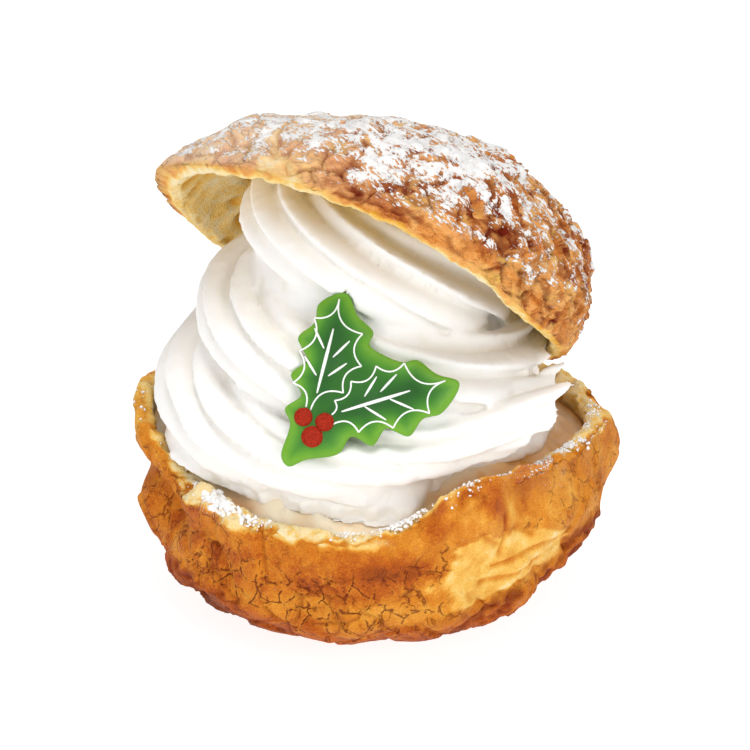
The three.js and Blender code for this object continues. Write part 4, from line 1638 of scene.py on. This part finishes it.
    def build_berries(self) -> Piece:
        """Three flattened balls half sunk in the face, each a little uneven."""
        ball = unit_ball(self.berry_sides, self.berry_rows, 0.49 * math.pi)
        skins = []
        for i, (x, y, radius) in enumerate(self.berries):
            uneven = Noise(self.berry_grain, self.berry_seed + i).at(ball * radius)
            local = ball * radius * (1 + 0.03 * uneven)[..., None]
            local = local * [1, 1, self.berry_flatness] + [x, y, self.thickness / 2]
            skins.append(closed_skin(self.to_world(local)))
        points, faces = joined(skins)
        return mesh_object("holly_berries", points, faces, {})


# Whipped cream


@dataclass
class CreamSwirl:
    """A star-shaped rope of cream laid in a rising, shrinking coil that bends back under the cap."""

    base: ChouxBase
    cap: ChouxCap
    custard: CustardFilling
    holly: HollyDecoration
    # The rope's section
    rope_radius: float = 9.4
    flatness: float = 0.94
    lobes: int = 8
    groove: float = 3.8
    groove_swing: float = 0.35
    swing_paces: Pair = (2.4, 4.1)
    lobe_step: float = 0.2
    lobe_fall: float = 1.8
    twist: float = 1.0
    # The coil
    turns: float = 3.0
    rise: float = 43.0
    climb: float = 1.15
    start_angle: float = math.radians(-60)
    start_radius: float = 29.5
    shrink: float = 6.0
    foot: Triple = (-2.2, 2.8, 37.0)
    lean: Triple = (0.51, 0.86, 0.0)
    bend: float = math.radians(38)
    # The straight start and the tip
    tail_steps: int = 24
    tail_length: float = 15.2
    tail_slant: float = 1.4
    tail_lift: float = 5.5
    tail_settling: Pair = (-0.1, 0.18)
    tail_girth: float = 0.8
    tail_swelling: Pair = (-0.05, 0.15)
    tip_thinning: Pair = (-0.1, 0.4)
    path_step: float = 0.01
    # The core
    core_below: float = 0.6
    core_inset: float = 0.5
    core_fill: float = 5.0
    core_rows: int = 40
    core_columns: int = 90
    # The melted skin and its grooves
    sides: int = 160
    steps: int = 420
    voxel: float = 0.55
    levelling: float = 0.6
    levelling_reach: float = 2.0
    levelling_end: Pair = (26, 32)
    levelling_rounds: tuple[int, int] = (60, 200)
    crease_rounds: tuple[int, int] = (7, 60)
    line_rounds: int = 2
    line_depth: float = 0.55
    line_reach: float = 0.5
    line_start: Pair = (4, 6)
    shade_reach: float = 1.4
    lookup_parts: int = 40
    # Fine relief and the toned edge
    waves: Noise = Noise(8.0, 101)
    grain: Noise = Noise(1.4, 102, 2)
    curd: Noise = Noise(2.4, 103)
    curd_end: Pair = (31, 36)
    ragged: Noise = Noise(2.6, 104)
    toned: Noise = Noise(3.0, 105)
    toned_end: Pair = (32.4, 33.8)
    # Room for the neighbours
    clearance: float = 0.3
    plate_gap: float = 0.05
    plate_margin: float = 0.25
    sinking: float = 0.4
    settling: float = 1.6
    front_gap: Feature = Feature(262, 48, -3.4)
    gap_fade: Pair = (34.0, 47.0)
    side_gap: Feature = Feature(314, 24, -8.0)
    side_fade: Pair = (35.5, 39.5)
    gap_start: Pair = (18, 28)
    skirt_start: Pair = (22, 27)
    skirt_end: Pair = (32, 35)
    left_bulge: Feature = Feature(188, 26, 2.6)
    bulge_height: float = 14.0
    bulge_start: Pair = (22, 30)

    def frame(self, turns: Array) -> tuple[Array, Array, Array, Array]:
        """Middle, axis, right and back of the coil: its axis bends as the square of its length.

        Args:
            turns: turns of the coil.

        Returns:
            Four arrays of vectors, with one row for each number of turns.
        """
        share = turns / self.turns
        tilt = self.bend * share * np.abs(share)
        lean = np.array(self.lean)
        axis = stack(0 * tilt, 0 * tilt, np.cos(tilt)) + np.sin(tilt)[:, None] * lean
        middle = self.foot + (self.rise * self.bend * share**3 / 3)[:, None] * lean
        middle[:, 2] += self.rise * np.sign(share) * np.abs(share) ** self.climb * (1 - tilt**2 / 10)
        back = unit(np.cross(axis, [1.0, 0, 0]))
        return middle, axis, np.cross(back, axis), back

    def path(self, turns: Array) -> Array:
        """The rope's centre line: a shrinking circle about the bent axis, lifted at its start."""
        middle, _, right, back = self.frame(turns)
        angle = (self.start_angle - 2 * math.pi * turns)[:, None]
        radius = (self.start_radius - self.shrink * turns)[:, None]
        points = middle + right * radius * np.cos(angle) + back * radius * np.sin(angle)
        points[:, 2] += self.tail_lift * (1 - smoothstep(turns, *self.tail_settling))
        return points

    def rope(self) -> Skin:
        """The star section carried along the coil, with a slanted straight tail at its start.

        The section's radius is the rope's less a groove. Each lobe rises steeply at its lower edge and falls
        off as a power towards the next, and the grooves' depths swing along the rope, each in its own time.
        """
        tail = np.linspace(1, 0, self.tail_steps, endpoint=False)
        turns = np.concatenate([0 * tail, np.linspace(0, self.turns, self.steps)])
        tail = np.concatenate([tail, np.zeros(self.steps)])[:, None]
        here = self.path(turns)
        ahead = unit(self.path(turns + self.path_step) - here)
        out = unit(np.cross(self.frame(turns)[1], ahead))
        up = np.cross(ahead, out)
        girth = self.tail_girth + (1 - self.tail_girth) * smoothstep(turns, *self.tail_swelling)
        taper = (girth * smoothstep(self.turns - turns, *self.tip_thinning))[:, None]
        around = full_turn(self.sides)[None, :]
        which, place = np.divmod(self.lobes * around / (2 * math.pi), 1)
        fall = (place - self.lobe_step) / (1 - self.lobe_step)
        ridge = np.where(fall < 0, place / self.lobe_step, 1 - np.abs(fall) ** self.lobe_fall)
        lobe_pace, turn_pace = self.swing_paces
        swing = 1 + self.groove_swing * np.sin(lobe_pace * which + turn_pace * turns[:, None])
        radius = (self.rope_radius - self.groove * swing * (1 - ridge)) * taper
        angle = around + 2 * math.pi * self.twist * turns[:, None]
        rise = radius * self.flatness * np.sin(angle)
        back = tail * (self.tail_length + self.tail_slant * rise)
        points = (
            here[:, None] + out[:, None] * (radius * np.cos(angle))[..., None]
            + up[:, None] * rise[..., None] - ahead[:, None] * back[..., None]
        )
        return closed_skin(points)

    def core(self) -> Skin:
        """The cone of cream that fills the inside of the coil."""
        turns = np.linspace(-self.core_below, self.turns - self.core_inset, self.core_rows)
        middle, _, right, back = self.frame(turns)
        radius = self.start_radius + self.core_fill - self.shrink * np.maximum(turns + self.core_inset, 0)
        radius = radius[:, None, None]
        angle = full_turn(self.core_columns)[None, :, None]
        return closed_skin(
            middle[:, None] + right[:, None] * radius * np.cos(angle) + back[:, None] * radius * np.sin(angle)
        )

    def melted(self) -> bpy.types.Mesh:
        """Rope and core remeshed as one skin of small voxels."""
        points, faces = joined([self.rope(), self.core()])
        raw = mesh_object("cream_raw", points, faces, {})
        raw.modifiers.new("melt", "REMESH").voxel_size = self.voxel * MM
        bpy.context.view_layer.update()
        mesh = bpy.data.meshes.new_from_object(raw.evaluated_get(bpy.context.evaluated_depsgraph_get()))
        bpy.data.objects.remove(raw)
        return mesh

    def build(self) -> Piece:
        """The melted skin, levelled, grooved between its lobes, roughened and pressed by its neighbours.

        It is tinted warm where it is hollow, as painted shade: where relaxing would move it outwards, in the
        grooves and on the lobe below each groove, and along its lower edge in front, where it lies in shade
        over the custard.
        """
        mesh = self.melted()
        edges = rows_of(mesh.edges, "vertices", np.int32, 2)
        points = rows_of(mesh.vertices, "co", np.float32, 3).astype(float) / MM
        points = self.relaxed(points, edges, 1)
        free = 1 - smoothstep(points[:, :1], *self.levelling_end)
        points = points - self.levelling * free * self.turn_part(points, edges)
        normals = rows_of(mesh.vertex_normals, "vector", np.float32, 3)
        narrow, wide = (
            ((self.relaxed(points, edges, rounds) - points) * normals).sum(axis=1)
            for rounds in self.crease_rounds
        )
        lines = stack(*self.groove_lines(points), points[:, 2])
        groove, shade, _ = self.relaxed(lines, edges, self.line_rounds).T
        # Painted shade: warmer in hollows, in grooves, under each lobe's edge and along the lower front edge.
        painted_crease_shade = np.maximum(0.8 * smoothstep(narrow, 0.03, 0.3), 0.5 * smoothstep(wide, 0.3, 1.2))
        painted_crease_shade = np.maximum(painted_crease_shade, np.maximum(groove, 0.7 * shade))
        height = points[:, 2] + 0.9 * self.toned.at(points)
        front = self.front_gap.near(np.arctan2(points[:, 1], points[:, 0]))
        painted_crease_shade = np.maximum(painted_crease_shade, 0.65 * front * (1 - smoothstep(height, *self.toned_end)))
        wobble = 0.3 * self.waves.at(points) + 0.08 * self.grain.at(points)
        wobble += 0.55 * self.curd.at(points) * (1 - smoothstep(points[:, 2], *self.curd_end))
        wobble -= self.line_depth * groove
        points = self.pressed(points + normals * wobble[:, None])
        mesh.vertices.foreach_set("co", (points * MM).astype(np.float32).ravel())
        mesh.update()
        mesh.name = "cream_swirl_lobes"
        return placed("cream_lobes", mesh, {Tint.CREASE: painted_crease_shade})

    def groove_lines(self, points: Array) -> tuple[Array, Array]:
        """Where the grooves between the lobes run.

        Each point is turned into its place on the nearest stretch of rope: turns along it and an angle round
        it, which gives the distance to the groove below its lobe and to the one above.

        Args:
            points: places in millimetres.

        Returns:
            A narrow bell curve about each groove, and a wider fall-off on the lobe below it, the painted
            shade under the lobe above.
        """
        turns = np.linspace(0, self.turns, self.steps)
        here = self.path(turns)
        ahead = (self.path(turns + self.path_step) - here) / self.path_step
        out = unit(np.cross(self.frame(turns)[1], ahead))
        up = unit(np.cross(ahead, out))
        nearest = np.concatenate([
            (np.square(here).sum(axis=1) - 2 * part @ here.T).argmin(axis=1)
            for part in np.array_split(points, self.lookup_parts)
        ])
        offset = points - here[nearest]
        along = (offset * ahead[nearest]).sum(axis=1) / np.square(ahead[nearest]).sum(axis=1)
        side = (offset * out[nearest]).sum(axis=1)
        rise = (offset * up[nearest]).sum(axis=1) / self.flatness
        angle = np.arctan2(rise, side) - 2 * math.pi * self.twist * (turns[nearest] + along)
        place = (self.lobes * angle / (2 * math.pi)) % 1
        radius = np.hypot(side, rise)
        outer = smoothstep(radius, *self.line_start)
        pitch = 2 * math.pi * radius / self.lobes
        line = np.exp(-((np.minimum(place, 1 - place) * pitch / self.line_reach) ** 2))
        return outer * line, outer * np.exp(-(1 - place) * pitch / self.shade_reach)

    def turn_part(self, points: Array, edges: Array) -> Array:
        """The shift that the turns of the coil add to its mean form: a short relaxing less a long one."""
        few, many = self.levelling_rounds
        short = self.relaxed(points, edges, few)
        shift = short - self.relaxed(short, edges, many)
        length = np.linalg.norm(shift, axis=1, keepdims=True)
        return shift * np.minimum(1, self.levelling_reach / np.maximum(length, 1e-9))

    @staticmethod
    def relaxed(points: Array, edges: Array, rounds: int) -> Array:
        """Moves every point half way to the mean of its neighbours, so many times."""
        ends = np.concatenate([edges, edges[:, ::-1]])
        count = np.bincount(ends[:, 0], minlength=len(points))[:, None]
        for _ in range(rounds):
            total = stack(*(
                np.bincount(ends[:, 0], points[ends[:, 1], axis], len(points)) for axis in range(3)
            ))
            points = 0.5 * points + 0.5 * total / np.maximum(count, 1)
        return points

    def pressed(self, points: Array) -> Array:
        """Moves points out of the wall, custard, cap and plate, onto the face that they crossed."""
        return self.behind_plate(self.under_cap(self.inside_base(points)))

    def inside_base(self, points: Array) -> Array:
        """Draws the front in from the wall, keeps cream below the rim inside, and settles it on the custard.

        At the front right it is cut back further under its lowest turn, in front a skirt reaches out to an
        even gap along the wall, and at the left it swells out over the rim. A height over the custard that
        is less than the settling becomes its square over the settling.
        """
        x, y, z = points.T
        angle = np.arctan2(y, x)
        radius = np.maximum(np.hypot(x, y), 1e-6)
        rim = self.base.rim_height(angle) + self.base.rim_rounding
        wall = self.base.inner_radius(angle, z) - self.clearance
        front = self.front_gap.near(angle) * (1 - smoothstep(z, *self.gap_fade))
        low = 1 - smoothstep(z, *self.skirt_end)
        side = self.side_gap.near(angle)
        ragged = self.ragged.at(points)
        gap = -self.front_gap.out + 0.8 * low * ragged
        undercut = side * (1 - smoothstep(z + ragged, *self.side_fade)) * -self.side_gap.out
        moved = radius - (front * gap + undercut) * smoothstep(radius, *self.gap_start)
        moved = np.where(z < rim, np.minimum(moved, wall), moved)
        skirt = front * low * (1 - smoothstep(side, 0.1, 0.5)) * smoothstep(radius, *self.skirt_start)
        moved += skirt * np.maximum(wall - gap - moved, 0)
        over = np.clip((z - rim) / self.bulge_height, 0, 1)
        swelling = self.left_bulge.out * self.left_bulge.near(angle) * (1 - over)
        swelling *= smoothstep(radius, *self.bulge_start)
        share = np.where(z < rim, moved, moved + swelling) / radius
        edge = self.base.inner_radius(angle, np.full_like(z, self.custard.edge))
        floor = self.custard.top(np.minimum(radius * share / edge, 1), angle) - self.sinking
        above = np.maximum(z - floor, 0)
        settled = np.where(above < self.settling, above**2 / self.settling, above)
        return stack(x * share, y * share, floor + settled)

    def under_cap(self, points: Array) -> Array:
        """Draws points over the cap's rim in to its inner dome, and presses those under the rim down."""
        u, v, w = self.cap.to_local(points).T
        inset = self.cap.wall + self.clearance
        angle = np.arctan2(v, u - self.cap.skew * w)
        drop = self.cap.low_side.up * self.cap.low_side.near(angle)
        above = w - drop
        across = np.hypot(u - self.cap.skew * w, v)
        reach = self.cap.rim_radius(angle, inset)
        tall = self.cap.height - inset - drop
        share = np.maximum(np.sqrt((across / reach) ** 2 + (np.maximum(above, 0) / tall) ** 2), 1e-6)
        shrink = np.where((above > 0) & (share > 1), 1 / share, 1)
        new_w = np.where(above > 0, above * shrink + drop, w)
        crest = -self.cap.rim_rounding - self.clearance
        under_rim = (above > crest) & (above <= 0) & (across > reach)
        new_w = np.where(under_rim, crest + drop, new_w)
        moved = stack(
            across * shrink * np.cos(angle) + self.cap.skew * new_w, across * shrink * np.sin(angle), new_w
        )
        changed = (shrink < 1) | under_rim
        return np.where(changed[:, None], self.cap.to_world(moved), points)

    def behind_plate(self, points: Array) -> Array:
        """Presses points in front of the holly plate's back down behind it."""
        local = self.holly.to_local(points)
        back = self.holly.wave(local) - self.holly.thickness / 2 - self.plate_gap
        inside = self.holly.covers(local[:, :2], self.plate_margin) & (local[:, 2] > back)
        local[:, 2] = np.where(inside, back, local[:, 2])
        return np.where(inside[:, None], self.holly.to_world(local), points)


# Sugar clumps


@dataclass(frozen=True)
class Sprinkle:
    """A cluster of clumps: its angle and spread round the rim, its place across it, its count and radii."""

    angle: float
    spread: float
    across: float
    count: int
    radii: Pair


@dataclass
class SugarClumps:
    """Loose clumps of icing sugar caught on the torn rim of the base."""

    base: ChouxBase
    across_spread: float = 0.22
    sprinkles: tuple[Sprinkle, ...] = (
        Sprinkle(220, 3.6, 0.3, 200, (0.16, 0.75)),
        Sprinkle(231, 4.0, 0.2, 90, (0.14, 0.55)),
        Sprinkle(207, 5.0, 0.5, 60, (0.1, 0.32)),
        Sprinkle(262, 2.0, 0.6, 40, (0.1, 0.3)),
        Sprinkle(277, 4.0, 0.75, 200, (0.1, 0.42)),
        Sprinkle(295, 2.5, 0.5, 50, (0.1, 0.34)),
        Sprinkle(310, 7.0, 0.8, 60, (0.1, 0.3)),
        Sprinkle(332, 8.0, 0.75, 300, (0.1, 0.4)),
        Sprinkle(352, 8.0, 0.55, 180, (0.1, 0.4)),
        Sprinkle(100, 50.0, 0.5, 200, (0.1, 0.34)),
    )
    seed: int = 5
    sides: int = 6
    rows: int = 4
    lift: float = 0.3
    lumpiness: Pair = (0.75, 1.2)
    stretch: Pair = (0.75, 1.25)

    def build(self) -> Piece:
        """Lumpy balls of a few dozen faces at random places on the rim, joined in one mesh."""
        draw = np.random.default_rng(self.seed)
        template, faces = closed_skin(unit_ball(self.sides, self.rows, 0.35 * math.pi))
        centres, radii = [], []
        for sprinkle in self.sprinkles:
            angle = np.radians(draw.normal(sprinkle.angle, sprinkle.spread, sprinkle.count))
            across = np.clip(draw.normal(sprinkle.across, self.across_spread, sprinkle.count), 0, 1)
            least, most = sprinkle.radii
            size = least + (most - least) * draw.random(sprinkle.count) ** 2
            places = self.base.rim_point(angle, across)
            places[:, 2] += self.lift * size
            centres.append(places)
            radii.append(size)
        centres, radii = np.concatenate(centres), np.concatenate(radii)
        count = len(centres)
        lumpy = template * draw.uniform(*self.lumpiness, (count, len(template), 1))
        stretched = lumpy * draw.uniform(*self.stretch, (count, 1, 3)) * radii[:, None, None]
        points = (centres[:, None] + stretched).reshape(-1, 3)
        offset = len(template) * np.arange(count)[:, None, None]
        every = [(part[None] + offset).reshape(-1, part.shape[1]) for part in faces]
        return mesh_object("sugar_clumps", points, every, {})


# Studio


@dataclass(frozen=True)
class Lamp:
    """A soft square light: its name, place in metres, power in watts and side in metres."""

    name: str
    place: Triple
    power: float
    side: float


@dataclass
class Studio:
    """A pale floor, soft light and the camera at the photograph's angle."""

    target: Triple = (0.0, 0.0, 42.0)
    elevation: float = math.radians(30)
    distance: float = 650.0
    pixels_per_mm: float = 5.6
    floor_side: float = 6.0
    floor_colour: str = "#A8A8A8"
    floor_roughness: float = 0.8
    floor_glow: float = 0.85
    room_light: float = 0.46
    lamps: tuple[Lamp, ...] = (
        Lamp("key", (0.45, -0.65, 0.5), 1.9, 0.3),
        Lamp("fill", (-0.45, -0.7, 0.3), 1.6, 0.3),
        Lamp("top", (0.05, -0.12, 1.05), 4.6, 0.4),
    )

    def build_camera(self) -> None:
        """Looks at the target from the front at the photograph's height."""
        data = bpy.data.cameras.new("camera")
        data.angle = 2 * math.atan(0.5 * PICTURE_SIDE / (self.pixels_per_mm * self.distance))
        camera = bpy.data.objects.new("camera", data)
        away = np.array([0, -math.cos(self.elevation), math.sin(self.elevation)])
        camera.location = (np.array(self.target) + self.distance * away) * MM
        camera.rotation_euler = (0.5 * math.pi - self.elevation, 0, 0)
        bpy.context.scene.collection.objects.link(camera)
        bpy.context.scene.camera = camera

    def build_floor(self) -> None:
        """A large plain pale floor."""
        side = self.floor_side / MM / 2
        corners = np.array([[-side, -side, 0], [side, -side, 0], [side, side, 0], [-side, side, 0]])
        floor = mesh_object("floor", corners, [np.array([[0, 1, 2, 3]])], {})
        paper = bpy.data.materials.new("pale_studio_paper")
        paper.use_nodes = True
        shader = paper.node_tree.nodes["Principled BSDF"]
        shader.inputs["Base Color"].default_value = linear(self.floor_colour)
        shader.inputs["Roughness"].default_value = self.floor_roughness
        shader.inputs["Emission Color"].default_value = (1, 1, 1, 1)
        shader.inputs["Emission Strength"].default_value = self.floor_glow
        floor.data.materials.append(paper)

    def build_lights(self) -> None:
        """A bright even room, a key from the front right, a weaker fill from the left and a light above."""
        scene = bpy.context.scene
        scene.view_settings.view_transform = "Standard"
        world = bpy.data.worlds.new("studio")
        world.use_nodes = True
        background = world.node_tree.nodes["Background"]
        background.inputs["Color"].default_value = (1, 1, 1, 1)
        background.inputs["Strength"].default_value = self.room_light
        scene.world = world
        for lamp in self.lamps:
            data = bpy.data.lights.new(lamp.name, "AREA")
            data.energy = lamp.power
            data.size = lamp.side
            light = bpy.data.objects.new(lamp.name, data)
            light.location = lamp.place
            aim = np.array(self.target) * MM - np.array(lamp.place)
            flat = math.hypot(aim[0], aim[1])
            light.rotation_euler = (math.atan2(flat, -aim[2]), 0, math.atan2(aim[1], aim[0]) - 0.5 * math.pi)
            scene.collection.objects.link(light)


def main() -> None:
    """Builds every piece round the frame."""
    logging.basicConfig(level=logging.INFO, format="%(name)s %(message)s")
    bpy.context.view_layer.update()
    studio = Studio()
    studio.build_camera()
    base, cap, holly = ChouxBase(), ChouxCap(), HollyDecoration()
    custard = CustardFilling(base)
    cream = CreamSwirl(base, cap, custard, holly)
    mount_piece(base.build(), BASE_CRUST, Slot.BASE, Node.BASE)
    mount_piece(cap.build(), CAP_CRUST, Slot.CAP, Node.CAP)
    mount_piece(custard.build(), CUSTARD_CREAM, Slot.CUSTARD, Node.CUSTARD)
    mount_piece(cream.build(), WHIPPED_CREAM, Slot.CREAM, Node.CREAM)
    mount_piece(holly.build_plate(), LEAF_PASTE, Slot.HOLLY, Node.HOLLY)
    mount_piece(holly.build_lines(), WHITE_ICING, Slot.HOLLY)
    mount_piece(holly.build_berries(), RED_SUGAR, Slot.HOLLY)
    mount_piece(SugarClumps(base).build(), ICING_SUGAR, Slot.BASE)
    studio.build_floor()
    studio.build_lights()


if __name__ == "__main__":
    main()
